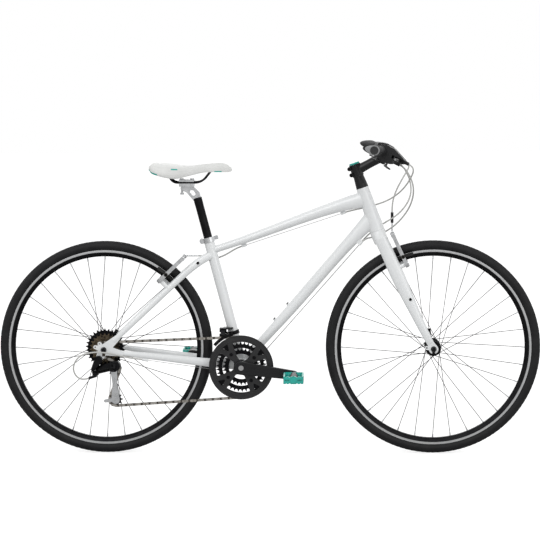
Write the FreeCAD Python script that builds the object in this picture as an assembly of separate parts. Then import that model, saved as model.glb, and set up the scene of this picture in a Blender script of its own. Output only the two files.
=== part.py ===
import FreeCAD, Part
import math
import os

V = FreeCAD.Vector

# Lengths in millimetres, angles in degrees. X points forward, Y to the rider's left, Z up.
# The origin is on the ground under the middle of the wheelbase.

# General fits and helpers
overrun = 4.0
running_gap = 0.3
pivot_fit = 0.08
slip_fit = 0.05
oval_points = 12
bend_share = 0.45
full_turn = 360.0

# Layout
wheelbase = 1050.0
bracket_x = -87.0
bracket_z = 286.0
seat_angle = 75.4
head_angle = 71.0
head_foot_x = 346.7
head_foot_z = 718.3

# Tyres, rims and spokes
rim_radius = 314.0
tyre_height = 29.0
tyre_radius = rim_radius + tyre_height
axle_height = tyre_radius
tyre_section_radius = 16.0
rim_half_width = 12.0
rim_track_depth = 8.5
rim_shoulder_depth = 15.5
rim_shoulder_half_width = 9.0
rim_depth = 20.5
rim_inner_half_width = 5.0
rim_wall = 2.3
rim_well_depth = 6.5
spokes_per_flange = 16
spoke_crosses = 3
spoke_radius = 1.0
spoke_head_radius = 1.9
spoke_head_height = 1.6
spoke_rim_offset = 1.8
spoke_circle = 21.5
nipple_radius = 2.1
nipple_length = 11.0
nipple_gap = 0.45
valve_radius = 3.0
valve_length = 34.0

# Hubs and axles
hub_bore = 6.0
hub_barrel_radius = 12.0
hub_flange_radius = 25.0
hub_flange_half_width = 1.6
hub_end_radius = 11.0
front_flange = 33.0
front_hub_half_length = 38.0
front_half_spacing = 50.0
rear_right_flange = -18.5
rear_left_flange = 35.0
rear_hub_left = 46.0
rear_hub_right = -22.0
rear_half_spacing = 67.5
axle_radius = 4.6
cone_radius = 8.0
cone_length = 5.5
locknut_radius = 8.8
skewer_nut_radius = 9.5
skewer_nut_tip_radius = 6.0
skewer_nut_length = 11.0

# Quick-release levers
release_base_radius = 9.0
release_base_height = 4.2
release_ear_half_width = 5.0
release_ear_inside = 5.2
release_ear_thickness = 3.0
release_ear_height = 15.5
release_pin_radius = 2.0
release_pin_height = 10.5
release_barrel_radius = 5.4
release_barrel_half_length = 4.9
release_arm_length = 52.0
release_arm_half_width = 4.0
release_paddle_half_width = 7.0
release_paddle_start = 18.0
release_arm_low = 8.6
release_arm_high = 13.0
release_round = 3.4
front_release_angle = 102.0
rear_release_angle = 60.0

# Chain and sprockets
chain_pitch = 12.7
chain_line = -60.0
roller_radius = 3.86
roller_seat = 4.0
seat_half_angle = 70.0
tooth_height = 3.1
tooth_tip_half_width = 1.0
sprocket_half_thickness = 0.95
chain_inner_half_width = 1.25
chain_plate = 1.0
chain_plate_gap = 0.12
chain_pin_radius = 1.8
chain_pin_end = 0.35
inner_plate_radius = 4.1
outer_plate_radius = 3.9
cog_teeth = (11, 13, 15, 17, 20, 23, 26, 30)
cog_spacing = 4.8
freehub_radius = 16.0
freehub_bore = 6.0
freehub_right = -63.4
lock_ring_radius = 17.1
ring_teeth = (48, 38, 28)
ring_spacing = 8.0
pulley_teeth = 10

# Crankset
crank_length = 170.0
crank_angle = -7.7
crank_arm_inner = 71.0
crank_arm_outer = 86.0
crank_hub_radius = 21.5
crank_eye_radius = 14.5
crank_boss_radius = 19.0
crank_edge = 2.5
left_boss_inner = 52.0
spindle_radius = 8.4
spindle_half_length = 77.0
crank_bolt_radius = 8.2
crank_bolt_length = 5.0
crank_bolt_recess = 9.6
bolt_circle = 52.0
inner_bolt_circle = 32.0
spider_arms = 4
spider_tab_radius = 8.0
spider_hub_radius = 24.0
spider_lead = 45.0
ring_band = 16.0
spider_root_share = 0.333
ring_bolt_radius = 4.0
ring_bolt_head_radius = 5.6
ring_bolt_head_height = 1.6
standoff_radius = 6.0

# Chain guard
guard_radius = 103.0
guard_inner = 64.4
guard_outer = 67.2
guard_rim_width = 20.0
guard_hub_radius = 27.0
guard_arm_half_angle = 17.0
guard_window_round = 8.0
guard_boss_radius = 7.5
guard_slot_outer = 86.0
guard_slot_inner = 62.0
guard_slot_half_width = 11.0
guard_slot_round = 3.0

# Pedals
pedal_inner = 93.0
pedal_outer = 190.0
pedal_half_length = 31.5
pedal_half_height = 12.0
pedal_wall = 4.5
pedal_corner = 9.0
pedal_core_radius = 12.5
pedal_wing_half_height = 8.0
pedal_wing_half_width = 7.0
pedal_spindle_radius = 6.5
pedal_collar_radius = 9.0
pedal_collar_length = 5.0
pedal_cap_radius = 8.5
pedal_cap_length = 2.5
pedal_notch_radius = 4.2
pedal_notch_count = 5
pedal_notch_pitch = 11.5
pedal_notch_rise = 2.0
pedal_slot_half_length = 6.5
pedal_slot_half_height = 2.2
pedal_slot_x = 19.5

# Bottom bracket
shell_radius = 21.0
shell_bore = 17.5
shell_half_width = 34.0
cup_flange_radius = 20.0
cup_flange_width = 3.0

# Frame tubes: half height and half width of the oval along each tube
seat_tube_radius = 16.5
seat_tube_length = 424.0
seat_slot_half_width = 1.2
seat_slot_length = 26.0
tube_wall = 2.4
top_tube_stations = (
    (-190.0, 652.5, 11.5, 12.5),
    (-60.0, 695.6, 12.8, 14.5),
    (100.0, 754.3, 15.8, 16.5),
    (228.0, 797.8, 20.4, 18.0),
    (313.0, 819.0, 26.5, 18.0),
)
down_tube_stations = (
    (-87.0, 286.0, 16.5, 22.0),
    (22.4, 411.5, 15.6, 19.0),
    (123.5, 526.0, 17.5, 17.5),
    (220.0, 637.5, 18.2, 17.5),
    (289.0, 713.5, 21.8, 18.0),
    (336.0, 764.0, 27.0, 18.0),
)
head_tube_length = 144.0
head_top_radius = 20.0
head_foot_radius = 24.3
head_bore = 17.4
boss_radius = 6.0
boss_height = 3.0
boss_depth = 9.0
boss_thread_radius = 2.5
bottle_boss_shares = (0.317, 0.4305)
cable_stop_share = 0.945
cable_stop_radius = 4.4
cable_stop_length = 16.0
cable_spread = 8.0
cable_drop = 6.5
cable_play = 0.6

# Stays: x, y, z, half height, half width
chainstay_stations = (
    (-92.0, -22.0, 287.0, 15.5, 9.0),
    (-180.0, -33.4, 296.0, 14.3, 8.0),
    (-300.0, -47.2, 311.0, 11.8, 7.5),
    (-400.0, -58.8, 324.0, 10.0, 7.5),
    (-482.0, -70.0, 332.0, 8.5, 5.2),
)
seatstay_stations = (
    (-493.0, -71.0, 371.0, 8.0, 5.4),
    (-460.0, -71.0, 403.0, 9.0, 6.0),
    (-400.0, -57.0, 459.5, 10.0, 7.5),
    (-284.0, -34.5, 568.0, 10.8, 8.0),
    (-225.0, -23.0, 617.0, 12.0, 8.5),
    (-184.0, -12.0, 640.0, 12.0, 8.0),
)
bridge_share = 0.68
bridge_radius = 6.0
rack_boss_share = 0.8
rack_bore_reach = 18.0
dropout_inner = 67.5
dropout_outer = 74.5
dropout_radius = 17.0
dropout_slot_half_width = 4.9
dropout_arm_radius = 9.0
chainstay_root = (-470.0, 332.0)
seatstay_root = (-480.0, 383.0)
eyelets = ((-552.0, 352.2), (-538.0, 363.0))
eyelet_radius = 6.0
eyelet_bore = 2.5
hanger = (-541.0, 313.0)
hanger_radius = 11.0
hanger_bore = 5.0

# Brakes, in the wheel's radial and tangential directions
brake_stud_radius = 4.0
brake_stud_reach = 44.0
brake_stud_drop = 32.0
brake_stud_circle = rim_radius - brake_stud_drop
brake_stud_spread = 41.0
brake_boss_radius = 7.0
brake_boss_length = 27.0
brake_arm_front = 30.0
brake_arm_back = 42.0
brake_arm_length = 99.0
brake_arm_lean = 7.0
brake_arm_base_half = 11.0
brake_arm_tip_half = 5.5
brake_hub_radius = 8.5
pad_rise = 26.0
pad_drop = 5.5
pad_circle = rim_radius - pad_drop
pad_gap = 1.6
pad_thickness = 9.0
pad_half_height = 4.4
pad_half_length = 34.0
pad_bow = 3.0
pad_post_radius = 3.0
pad_washer_radius = 6.5
brake_tip_radius = 7.0
noodle_radius = 2.4
noodle_reach = 26.0
rear_noodle_leg = (33.0, -31.0)
front_noodle_leg = (63.6, 29.5)
noodle_inboard = 18.0
boot_radius = 4.6
boot_length = 34.0
boot_bore = 3.0
brake_wire_end = 14.0
rear_brake_angle = 43.5
front_brake_lead = -0.585

# Fork: blades run from root to axle: offset forward, y, half width fore and aft, half width across
steerer_radius = 14.3
crown_stations = ((0.0, 24.3, 24.3), (-14.0, 24.0, 31.0), (-30.0, 23.0, 45.0), (-40.0, 22.0, 49.0))
blade_root = (356.0, 696.0)
blade_shares = (0.0, 0.136, 0.4584, 0.7013, 0.8653, 0.9452)
blade_stations = (
    (0.0, -36.0, 21.5, 12.0),
    (0.0, -39.0, 21.0, 11.5),
    (-2.74, -45.5, 20.0, 10.0),
    (-3.35, -51.0, 15.2, 9.0),
    (-2.47, -54.0, 12.5, 7.2),
    (-0.815, -53.5, 11.0, 4.5),
)
fork_tip_inner = 50.0
fork_tip_outer = 56.5
fork_tip_radius = 15.0
fork_tip_root_share = 0.7
fork_eyelet_setback = 21.5
fork_eyelet_rise = 4.0
fork_mid_hole_share = 0.5509
fork_mid_hole_offset = 2.0

# Headset, stem and bar
bearing_height = 9.0
cover_top = 183.0
cover_top_radius = 16.5
stem_foot = 183.3
stem_head = 222.5
stem_clamp_radius = 18.5
cap_height = 5.5
cap_radius = 16.5
stem_length = 95.0
stem_rise = 28.5
stem_root = 201.5
stem_half_height = 17.0
stem_half_width = 14.0
stem_neck_share = 0.55
stem_neck_half_height = 14.5
bar_clamp_radius = 19.5
bar_clamp_half_width = 21.0
stem_bolt_radius = 6.5
stem_bolt_half_width = 14.0
stem_bolt_setback = 20.5
stem_bolt_levels = (193.0, 213.5)
bar_radius = 11.1
bar_bulge_radius = 12.7
bar_bulge_half_length = 38.0
bar_root = 44.0
bar_shoulder = (366.0, 92.0, 973.0)
bar_end = (331.0, 300.0, 982.0)
plug_radius = 12.6
plug_length = 3.0

# Grips
grip_length = 128.0
grip_shoulder_share = 0.7071
grip_wing_lift = 12.0
grip_stations = (
    (0.0, 16.0, 38.0, 9.5),
    (0.25, 16.0, 37.0, 9.5),
    (0.5, 15.6, 28.0, 10.0),
    (0.78, 15.2, 18.0, 11.0),
    (0.94, 15.4, 15.4, 10.9),
    (1.0, 17.0, 17.0, 12.0),
)
grip_ring_length = 9.0
grip_ring_radius = 15.3
grip_ring_tail = 24.0
grip_ring_tail_radius = 5.5

# Brake and shift units, in the bar's own directions: ahead, outward, below
unit_pitch = -26.4
unit_inner = -187.0
unit_outer = -140.0
unit_outline = ((-16.5, -15.5), (12.0, -25.0), (34.0, -24.0), (62.0, -14.0), (81.0, -6.0), (82.0, 7.0),
                (60.0, 12.0), (44.0, 24.0), (20.0, 30.0), (-16.5, 15.5))
unit_round = 7.0
unit_band_radius = 14.6
unit_band_outer = -132.0
unit_slot_half = 5.3
unit_slot_start = 38.0
barrel_radius = 5.5
barrel_length = 18.0
brake_barrel = (74.5, -174.0, 0.0)
shift_barrel = (50.0, -174.0, 14.5)
lever_pivot = (47.0, -149.0)
lever_pin_radius = 2.5
lever_hub_radius = 7.5
lever_blade = ((47.0, -149.0, 0.0), (62.0, -126.0, 1.0), (58.0, -95.0, 3.0), (61.0, -62.0, 5.0),
               (67.0, -46.0, 6.0))
lever_blade_halves = ((5.0, 4.6), (5.5, 4.6), (4.8, 6.0), (4.8, 6.5), (4.2, 5.0))
lever_ear_inner = -160.0
shift_pivot = (14.0, -168.0)
shift_plate_low = 31.0
shift_plate_high = 35.5
shift_hub_radius = 9.0
shift_tip = (-8.0, -141.0)
shift_tip_radius = 9.0
shift_pin_radius = 3.0
post_start = 20.0
trigger_pivot = (30.0, -177.0)
trigger_low = 36.0
trigger_high = 40.0
trigger_tip = (46.0, -141.0)
trigger_hub_radius = 7.0
trigger_tip_radius = 6.0
trigger_pin_radius = 2.5

# Seat
post_radius = 13.6
post_foot = 262.0
post_top = 533.0
post_collar_top = 556.0
post_collar_radius = 13.9
head_outline = ((-238.0, 814.0), (-214.0, 821.0), (-219.0, 842.0), (-238.0, 860.5), (-281.0, 860.5),
                (-279.0, 848.0),
                (-262.0, 842.0))
head_half_width = 10.5
head_window = ((-241.0, 831.0), (-230.0, 833.0), (-238.0, 847.0), (-256.0, 850.0))
head_round = 5.0
window_round = 4.0
cradle_x = (-284.0, -236.0)
cradle_levels = (860.5, 870.3)
clamp_levels = (875.7, 882.5)
cradle_half_width = 26.0
clamp_bolt_radius = 3.5
clamp_bolt_nut_radius = 6.0
clamp_bolt_shares = (0.16, 0.84)
clamp_bolt_foot = 834.0
clamp_bolt_nut_height = 6.0
rail_radius = 3.5
rail_level = 873.0
rail_spread = 21.5
rail_path = ((-318.0, -30.0, 907.0), (-306.0, -21.5, 873.0), (-212.0, -21.5, 873.0), (-184.0, -13.0, 908.0))
shell_stations = (
    (-372.0, 62.0, 909.0, 914.0),
    (-330.0, 76.0, 905.0, 911.0),
    (-290.0, 62.0, 903.0, 910.0),
    (-240.0, 36.0, 906.0, 913.0),
    (-180.0, 20.0, 907.5, 914.0),
    (-128.0, 13.0, 909.0, 914.0),
)
cushion_stations = (
    (-378.0, 56.0, 912.0, 929.0, 922.0),
    (-364.0, 74.0, 903.0, 936.5, 917.0),
    (-330.0, 83.0, 893.0, 936.0, 911.0),
    (-292.0, 70.0, 887.5, 931.0, 909.5),
    (-250.0, 44.0, 895.5, 927.5, 910.5),
    (-205.0, 27.0, 905.0, 933.0, 913.5),
    (-165.0, 21.0, 906.5, 936.5, 914.5),
    (-134.0, 17.5, 907.5, 931.5, 914.5),
    (-121.0, 11.0, 909.0, 921.0, 914.0),
)
cushion_lip = 4.5
cushion_crown_shares = ((0.0, 0.0), (0.5, 0.12), (0.88, 0.5))
cushion_skirt_share = 0.97
cushion_lip_share = 0.82
cushion_hollow_share = 0.5
collar_height = 15.0
collar_wall = 3.2
collar_lug_radius = 6.0
collar_lug_setback = 28.0
collar_lug_half_width = 12.0
collar_slit_half_width = 1.6
collar_bolt_radius = 3.0

# Rear derailleur: parallelogram in its own directions
rear_shift_travel = 33.6
rear_shift_drop = 27.0
rear_link_length = 52.0
rear_link_offset = 15.0
rear_link_pivot = (-547.0, -79.0, 283.0)
link_half_height = 8.0
link_radius = 4.6
link_room = 0.7
sweep_shares = (-1.0, -0.5, 0.0, 0.5, 1.0)
link_pin_radius = 2.0
lug_thickness = 3.6
lug_radius = 5.6
lug_back = 15.0
lug_web_share = 0.55
lug_arm_share = 0.8
knuckle_x = -486.0
knuckle_z = 294.0
knuckle_radius = 15.5
knuckle_inner = 70.5
knuckle_outer = 99.0
knuckle_edge = 3.0
guide_x = -494.0
guide_z = 283.0
cage_length = 101.0
cage_angle = -88.0
cage_inner = 52.0
cage_outer = 68.2
cage_plate = 1.6
cage_eye_radius = 11.0
cage_foot_radius = 13.5
cage_waist_radius = 7.0
cage_pin_radius = 5.0
cage_pin_length = 14.0
cage_tab = (-522.0, 178.0)
cage_tab_radius = 5.0
pulley_bolt_radius = 2.5
pulley_hub_half_width = 4.6
pulley_hub_radius = 8.0
mount_disc_radius = 12.5
mount_disc_outer = 90.0
mount_barrel_radius = 4.2
mount_barrel = ((-547.0, -84.0, 262.0), (-572.0, -84.0, 254.0))

# Front derailleur
band_level = 108.0
band_half_height = 6.0
band_wall = 2.6
front_shift_travel = 16.0
front_link_length = 16.0
front_link_offset = 12.0
front_link_pivot = (-146.0, -37.0, 400.0)
front_link_half = 7.0
front_lug_radius = 5.0
front_lug_reach = 4.0
front_arm_thickness = 4.0
front_cage_inner_radius = 105.0
front_cage_outer_radius = 115.0
front_cage_arc = (104.0, 140.0)
front_cage_top = (104.0, 117.0)
front_cage_tail = (132.0, 140.0)
front_cage_inner_y = 53.4
front_cage_outer_y = 66.6
front_cage_plate = 1.4

# Cables
housing_radius = 2.5
bare_radius = 0.9
stay_stop = (-384.0, -57.5, 307.5)
stay_stop_end = (-404.0, -60.0, 311.0)
stay_contact = -99.6
guide_arc = (-160.0, -40.0)
guide_half_width = 12.0
top_stop_x = (-92.0, 222.0)
top_stop_y = 9.0
housing_lead = 22.0
noodle_lead = 26.0
rear_brake_way = ((446.0, -124.0, 884.0), (420.0, -60.0, 844.0), (380.0, 14.0, 811.0), (324.0, 38.0, 792.0))
right_shift_way = ((460.0, -140.0, 864.0), (452.0, -66.0, 800.0), (414.0, 12.0, 740.0),
                   (368.0, 46.0, 706.0),
                   (338.0, 40.0, 694.0))
left_shift_way = ((460.0, 148.0, 868.0), (458.0, 92.0, 816.0), (420.0, 64.0, 766.0), (364.0, 54.0, 734.0),
                  (330.0, 38.0, 712.0))
front_brake_way = ((434.0, 122.0, 882.0), (408.0, 88.0, 838.0))
rear_noodle_way = ((-176.0, 62.0, 638.0), (-140.0, 26.0, 656.0))
derailleur_loop_way = ((-450.0, -74.0, 318.0), (-500.0, -88.0, 334.0), (-556.0, -92.0, 340.0),
                       (-606.0, -92.0, 326.0),
                       (-626.0, -88.0, 282.0))


def unit(v):
    return v * (1.0 / v.Length)


def polar(x, z, radius, angle, y=0.0):
    a = math.radians(angle)
    return V(x + radius * math.cos(a), y, z + radius * math.sin(a))


def rod(p, q, radius):
    return Part.makeCylinder(radius, (q - p).Length, p, q - p)


def cone(p, q, radius_p, radius_q):
    return Part.makeCone(radius_p, radius_q, (q - p).Length, p, q - p)


def cross_rod(x, z, y_from, y_to, radius):
    return rod(V(x, y_from, z), V(x, y_to, z), radius)


def sleeve(p, q, outer, inner):
    reach = unit(q - p) * overrun
    return rod(p, q, outer).cut(rod(p - reach, q + reach, inner))


def block(x, y, z):
    low = V(min(x), min(y), min(z))
    return Part.makeBox(max(x) - min(x), max(y) - min(y), max(z) - min(z), low)


def mirrored(shape):
    return shape.mirror(V(0, 0, 0), V(0, 1, 0))


def frame_of(origin, x_axis, z_axis):
    z = unit(z_axis)
    y = unit(z.cross(x_axis))
    x = y.cross(z)
    return FreeCAD.Placement(FreeCAD.Matrix(
        x.x, y.x, z.x, origin.x, x.y, y.y, z.y, origin.y, x.z, y.z, z.z, origin.z, 0, 0, 0, 1))


def placed(shape, frame):
    moved = shape.copy()
    moved.Placement = frame.multiply(moved.Placement)
    return moved


def joined(shapes):
    first, rest = shapes[0], shapes[1:]
    return first.multiFuse(rest).removeSplitter()


def corner(before, at, after, radius):
    a, b = unit(before - at), unit(after - at)
    half = a.getAngle(b) / 2.0
    reach = radius / math.tan(half)
    middle = at + unit(a + b) * (radius / math.sin(half) - radius)
    return at + a * reach, middle, at + b * reach


def rounded_wire(points, radius):
    arcs = [corner(points[k - 1], p, points[(k + 1) % len(points)], radius) for k, p in enumerate(points)]
    edges = []
    for k, (start, middle, end) in enumerate(arcs):
        edges.append(Part.Arc(start, middle, end).toShape())
        following = arcs[(k + 1) % len(arcs)][0]
        if (following - end).Length > running_gap * pivot_fit:
            edges.append(Part.makeLine(end, following))
    return Part.Wire(edges)


def rounded_plate(outline, radius, y_from, y_to):
    points = [V(x, y_from, z) for x, z in outline]
    return Part.Face(rounded_wire(points, radius)).extrude(V(0, y_to - y_from, 0))


def path_wire(points):
    edges = []
    last = points[0]
    for before, at, after in zip(points, points[1:], points[2:]):
        half = (before - at).getAngle(after - at) / 2.0
        reach = bend_share * min((before - at).Length, (after - at).Length)
        start, middle, end = corner(before, at, after, reach * math.tan(half))
        edges.append(Part.makeLine(last, start))
        edges.append(Part.Arc(start, middle, end).toShape())
        last = end
    edges.append(Part.makeLine(last, points[-1]))
    return Part.Wire(edges)


def hose(points, radius):
    points = [V(p) for p in points]
    ring = Part.Wire([Part.makeCircle(radius, points[0], points[1] - points[0])])
    return path_wire(points).makePipeShell([ring], True, True)


def oval(centre, u, v, half_u, half_v):
    points = []
    for k in range(oval_points):
        a = 2.0 * math.pi * k / oval_points
        points.append(centre + u * (half_u * math.cos(a)) + v * (half_v * math.sin(a)))
    curve = Part.BSplineCurve()
    curve.interpolate(Points=points, PeriodicFlag=True)
    return Part.Wire([curve.toShape()])


def directions(centres):
    found = []
    for k in range(len(centres)):
        a, b = centres[max(k - 1, 0)], centres[min(k + 1, len(centres) - 1)]
        found.append(unit(b - a))
    return found


def oval_tube(centres, halves, side=V(0, 1, 0)):
    wires = []
    for centre, along, (half_u, half_v) in zip(centres, directions(centres), halves):
        u = unit(side.cross(along))
        wires.append(oval(centre, u, unit(along.cross(u)), half_u, half_v))
    return Part.makeLoft(wires, True, False)


def hollow_tube(centres, halves, wall):
    thin = [(a - wall, b - wall) for a, b in halves]
    return oval_tube(centres, halves).cut(oval_tube(centres, thin))


def bar_plate(p, q, radius_p, radius_q, low, high):
    # A flat bar between two rounded ends, drawn in x and y and standing from low to high in z.
    p, q = V(p[0], p[1], low), V(q[0], q[1], low)
    along = unit(q - p)
    lean = math.asin((radius_p - radius_q) / (q - p).Length)
    side = V(-along.y, along.x, 0)
    up = along * math.sin(lean) + side * math.cos(lean)
    down = along * math.sin(lean) - side * math.cos(lean)
    edges = [
        Part.Arc(p + up * radius_p, p - along * radius_p, p + down * radius_p).toShape(),
        Part.makeLine(p + down * radius_p, q + down * radius_q),
        Part.Arc(q + down * radius_q, q + along * radius_q, q + up * radius_q).toShape(),
        Part.makeLine(q + up * radius_q, p + up * radius_p),
    ]
    return Part.Face(Part.Wire(edges)).extrude(V(0, 0, high - low))


def upright_plate(p, q, radius_p, radius_q, y_from, y_to):
    # The same flat bar standing in the plane of the wheels.
    flat = bar_plate(p, q, radius_p, radius_q, min(y_from, y_to), max(y_from, y_to))
    return placed(flat, frame_of(V(0, 0, 0), V(1, 0, 0), V(0, 1, 0))).mirror(V(0, 0, 0), V(0, 0, 1))


def turned(points, x, z):
    # A profile of radius and height turned round an axle that lies along Y.
    wire = Part.makePolygon([V(x + r, y, z) for r, y in points] + [V(x + points[0][0], points[0][1], z)])
    return Part.Face(wire).revolve(V(x, 0, z), V(0, 1, 0), full_turn)


def eased(shape, radius, chosen):
    return shape.makeFillet(radius, [e for e in shape.Edges if chosen(e)])


# Axes used by several pieces
rear_x = -wheelbase / 2.0
front_x = wheelbase / 2.0
blade_angle = math.degrees(math.atan2(blade_root[1] - axle_height, blade_root[0] - front_x))
front_brake_angle = blade_angle + front_brake_lead
fork_eyelet = (front_x - fork_eyelet_setback, axle_height + fork_eyelet_rise)
head_up = V(-math.cos(math.radians(head_angle)), 0, math.sin(math.radians(head_angle)))
head_ahead = V(head_up.z, 0, -head_up.x)
head_foot = V(head_foot_x, 0, head_foot_z)
seat_up = V(-math.cos(math.radians(seat_angle)), 0, math.sin(math.radians(seat_angle)))
seat_back = V(-seat_up.z, 0, seat_up.x)
bracket = V(bracket_x, 0, bracket_z)
pedal_x = crank_length * math.cos(math.radians(crank_angle))
pedal_z = crank_length * math.sin(math.radians(crank_angle))


def on_head(level):
    return head_foot + head_up * level


def on_seat(level):
    return bracket + seat_up * level


# Wheels
def tyre(x):
    bead = rim_half_width - rim_wall - slip_fit
    core = tyre_radius - tyre_section_radius
    low = rim_radius - rim_well_depth + slip_fit
    high = core - math.sqrt(tyre_section_radius ** 2 - bead ** 2)
    corners = [V(x + high, bead, axle_height), V(x + low, bead, axle_height),
               V(x + low, -bead, axle_height), V(x + high, -bead, axle_height)]
    crown = V(x + tyre_radius, 0, axle_height)
    edges = [Part.makeLine(a, b) for a, b in zip(corners, corners[1:])]
    edges.append(Part.Arc(corners[-1], crown, corners[0]).toShape())
    ring = Part.Face(Part.Wire(edges)).revolve(V(x, 0, axle_height), V(0, 1, 0), full_turn)
    inner = rim_radius - rim_depth
    gap = full_turn / spokes_per_flange / 4.0
    top = polar(x, axle_height, inner - slip_fit, gap - full_turn / 4.0)
    stem = rod(top, polar(x, axle_height, inner - valve_length, gap - full_turn / 4.0), valve_radius)
    return Part.makeCompound([ring, stem])


def rim(x):
    inside = rim_half_width - rim_wall
    side = [(rim_radius - rim_well_depth, inside), (rim_radius, inside), (rim_radius, rim_half_width),
            (rim_radius - rim_track_depth, rim_half_width),
            (rim_radius - rim_shoulder_depth, rim_shoulder_half_width),
            (rim_radius - rim_depth, rim_inner_half_width)]
    return turned(side + [(r, -y) for r, y in reversed(side)], x, axle_height)


def spoke(x, flange, outer_side, hub_angle, rim_angle):
    side = math.copysign(1.0, flange)
    inner = rim_radius - rim_depth - nipple_gap
    span = inner - spoke_circle
    chord = math.sqrt(hub_flange_radius ** 2 - spoke_circle ** 2)
    lift = hub_flange_half_width + spoke_radius + abs(flange) / span * chord + pivot_fit
    face = flange + side * outer_side * hub_flange_half_width
    y = flange + side * outer_side * lift
    start = polar(x, axle_height, spoke_circle, hub_angle, y)
    end = polar(x, axle_height, inner, rim_angle, side * spoke_rim_offset)
    along = unit(end - start)
    foot = V(start.x, face, start.z)
    head = rod(foot, start + (start - foot) * (spoke_head_height / lift), spoke_head_radius)
    return joined([rod(start, end, spoke_radius), head,
                   rod(end - along * nipple_length, end, nipple_radius)])


def spokes(x, flanges):
    step = full_turn / spokes_per_flange
    made = []
    for shift, flange in enumerate(flanges):
        for k in range(spokes_per_flange):
            way = 1 if k % 2 == 0 else -1
            hub_angle = step * (k + shift / 2.0)
            made.append(spoke(x, flange, way, hub_angle, hub_angle + way * spoke_crosses * step))
    return made


def hub(x, right_end, left_end, right_flange, left_flange):
    profile = [(hub_bore, right_end), (hub_end_radius, right_end)]
    for flange in (right_flange, left_flange):
        low, high = flange - hub_flange_half_width, flange + hub_flange_half_width
        profile += [(hub_barrel_radius, low), (hub_flange_radius, low),
                    (hub_flange_radius, high), (hub_barrel_radius, high)]
    profile += [(hub_end_radius, left_end), (hub_bore, left_end)]
    return turned(profile, x, axle_height)


def axle(x, half_spacing, end, left_start, right_start):
    lever_side = end + running_gap
    body = [cross_rod(x, axle_height, -end - running_gap, end + running_gap, axle_radius)]
    for start, side in ((left_start, 1.0), (right_start, -1.0)):
        shoulder = min(start + cone_length, half_spacing - running_gap)
        body.append(cross_rod(x, axle_height, side * start, side * shoulder, cone_radius))
        body.append(cross_rod(x, axle_height, side * shoulder, side * half_spacing, locknut_radius))
    nut = cone(V(x, -lever_side, axle_height), V(x, -lever_side - skewer_nut_length, axle_height),
               skewer_nut_radius, skewer_nut_tip_radius)
    return joined(body + [nut])


def release_base():
    ears = []
    for side in (1.0, -1.0):
        y = (side * release_ear_inside, side * (release_ear_inside + release_ear_thickness))
        ears.append(block((-release_ear_half_width, release_ear_half_width), y, (0, release_ear_height)))
    reach = release_ear_inside + release_ear_thickness
    pin = rod(V(0, -reach, release_pin_height), V(0, reach, release_pin_height), release_pin_radius)
    return joined([Part.makeCylinder(release_base_radius, release_base_height), pin] + ears)


def release_lever():
    barrel = rod(V(0, -release_barrel_half_length, release_pin_height),
                 V(0, release_barrel_half_length, release_pin_height), release_barrel_radius)
    hole = rod(V(0, -release_ear_inside, release_pin_height), V(0, release_ear_inside, release_pin_height),
               release_pin_radius + pivot_fit)
    outline = [(0, release_arm_half_width), (release_paddle_start, release_arm_half_width),
               (release_arm_length, release_paddle_half_width), (release_arm_length,
                                                                 -release_paddle_half_width),
               (release_paddle_start, -release_arm_half_width), (0, -release_arm_half_width)]
    points = [V(x, y, release_arm_low) for x, y in outline]
    arm = Part.Face(rounded_wire(points, release_round)).extrude(V(0, 0,
                                                                   release_arm_high - release_arm_low))
    return joined([barrel, arm]).cut(hole)


def release(x, end, angle):
    frame = frame_of(V(x, end + running_gap, axle_height), polar(0, 0, 1.0, angle), V(0, 1, 0))
    return placed(release_base(), frame), placed(release_lever(), frame)


# Sprockets and chain
def pitch_radius(teeth):
    return chain_pitch / (2.0 * math.sin(math.pi / teeth))


def sprocket_wire(teeth, phase, y):
    base = pitch_radius(teeth)
    tip = base + tooth_height
    reach = math.radians(seat_half_angle)
    edges, first, last = [], None, None
    for k in range(teeth):
        a = phase + 2.0 * math.pi * k / teeth
        out, side = V(math.cos(a), 0, math.sin(a)), V(-math.sin(a), 0, math.cos(a))
        seat = out * base + V(0, y, 0)
        start = seat - out * (roller_seat * math.cos(reach)) - side * (roller_seat * math.sin(reach))
        end = seat - out * (roller_seat * math.cos(reach)) + side * (roller_seat * math.sin(reach))
        turn = math.pi / teeth - tooth_tip_half_width / tip
        rise = [V(tip * math.cos(a + s * turn), y, tip * math.sin(a + s * turn)) for s in (-1.0, 1.0)]
        if last is not None:
            edges.append(Part.makeLine(last, rise[0]))
        else:
            first = rise[0]
        edges.append(Part.makeLine(rise[0], start))
        edges.append(Part.Arc(start, seat - out * roller_seat, end).toShape())
        edges.append(Part.makeLine(end, rise[1]))
        last = rise[1]
    edges.append(Part.makeLine(last, first))
    return Part.Wire(edges)


def sprocket(teeth, phase, x, y, z, bore):
    low = y - sprocket_half_thickness
    disc = Part.Face(sprocket_wire(teeth, phase, low)).extrude(V(0, 2.0 * sprocket_half_thickness, 0))
    hole = cross_rod(0, 0, low - overrun, low + overrun, bore)
    disc = disc.cut(hole)
    disc.translate(V(x, 0, z))
    return disc


def tangent(c1, r1, s1, c2, r2, s2):
    # A straight run between two toothed wheels, each turned one way (1) or the other (-1).
    between = c2 - c1
    delta = math.asin((s2 * r2 - s1 * r1) / between.Length)
    e = unit(between)
    d = V(e.x * math.cos(delta) + e.z * math.sin(delta), 0, e.z * math.cos(delta) - e.x * math.sin(delta))
    n = V(-d.z, 0, d.x)
    return c1 - n * (s1 * r1), c2 - n * (s2 * r2)


def chain_wheels(cage_turn):
    pivot = V(knuckle_x, 0, knuckle_z)
    guide = V(guide_x, 0, guide_z)
    foot = guide + polar(0, 0, cage_length, cage_turn)
    return [(bracket, ring_teeth[0], 1), (V(rear_x, 0, axle_height), cog_teeth[0], 1),
            (guide, pulley_teeth, -1), (foot, pulley_teeth, 1)], pivot


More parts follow.
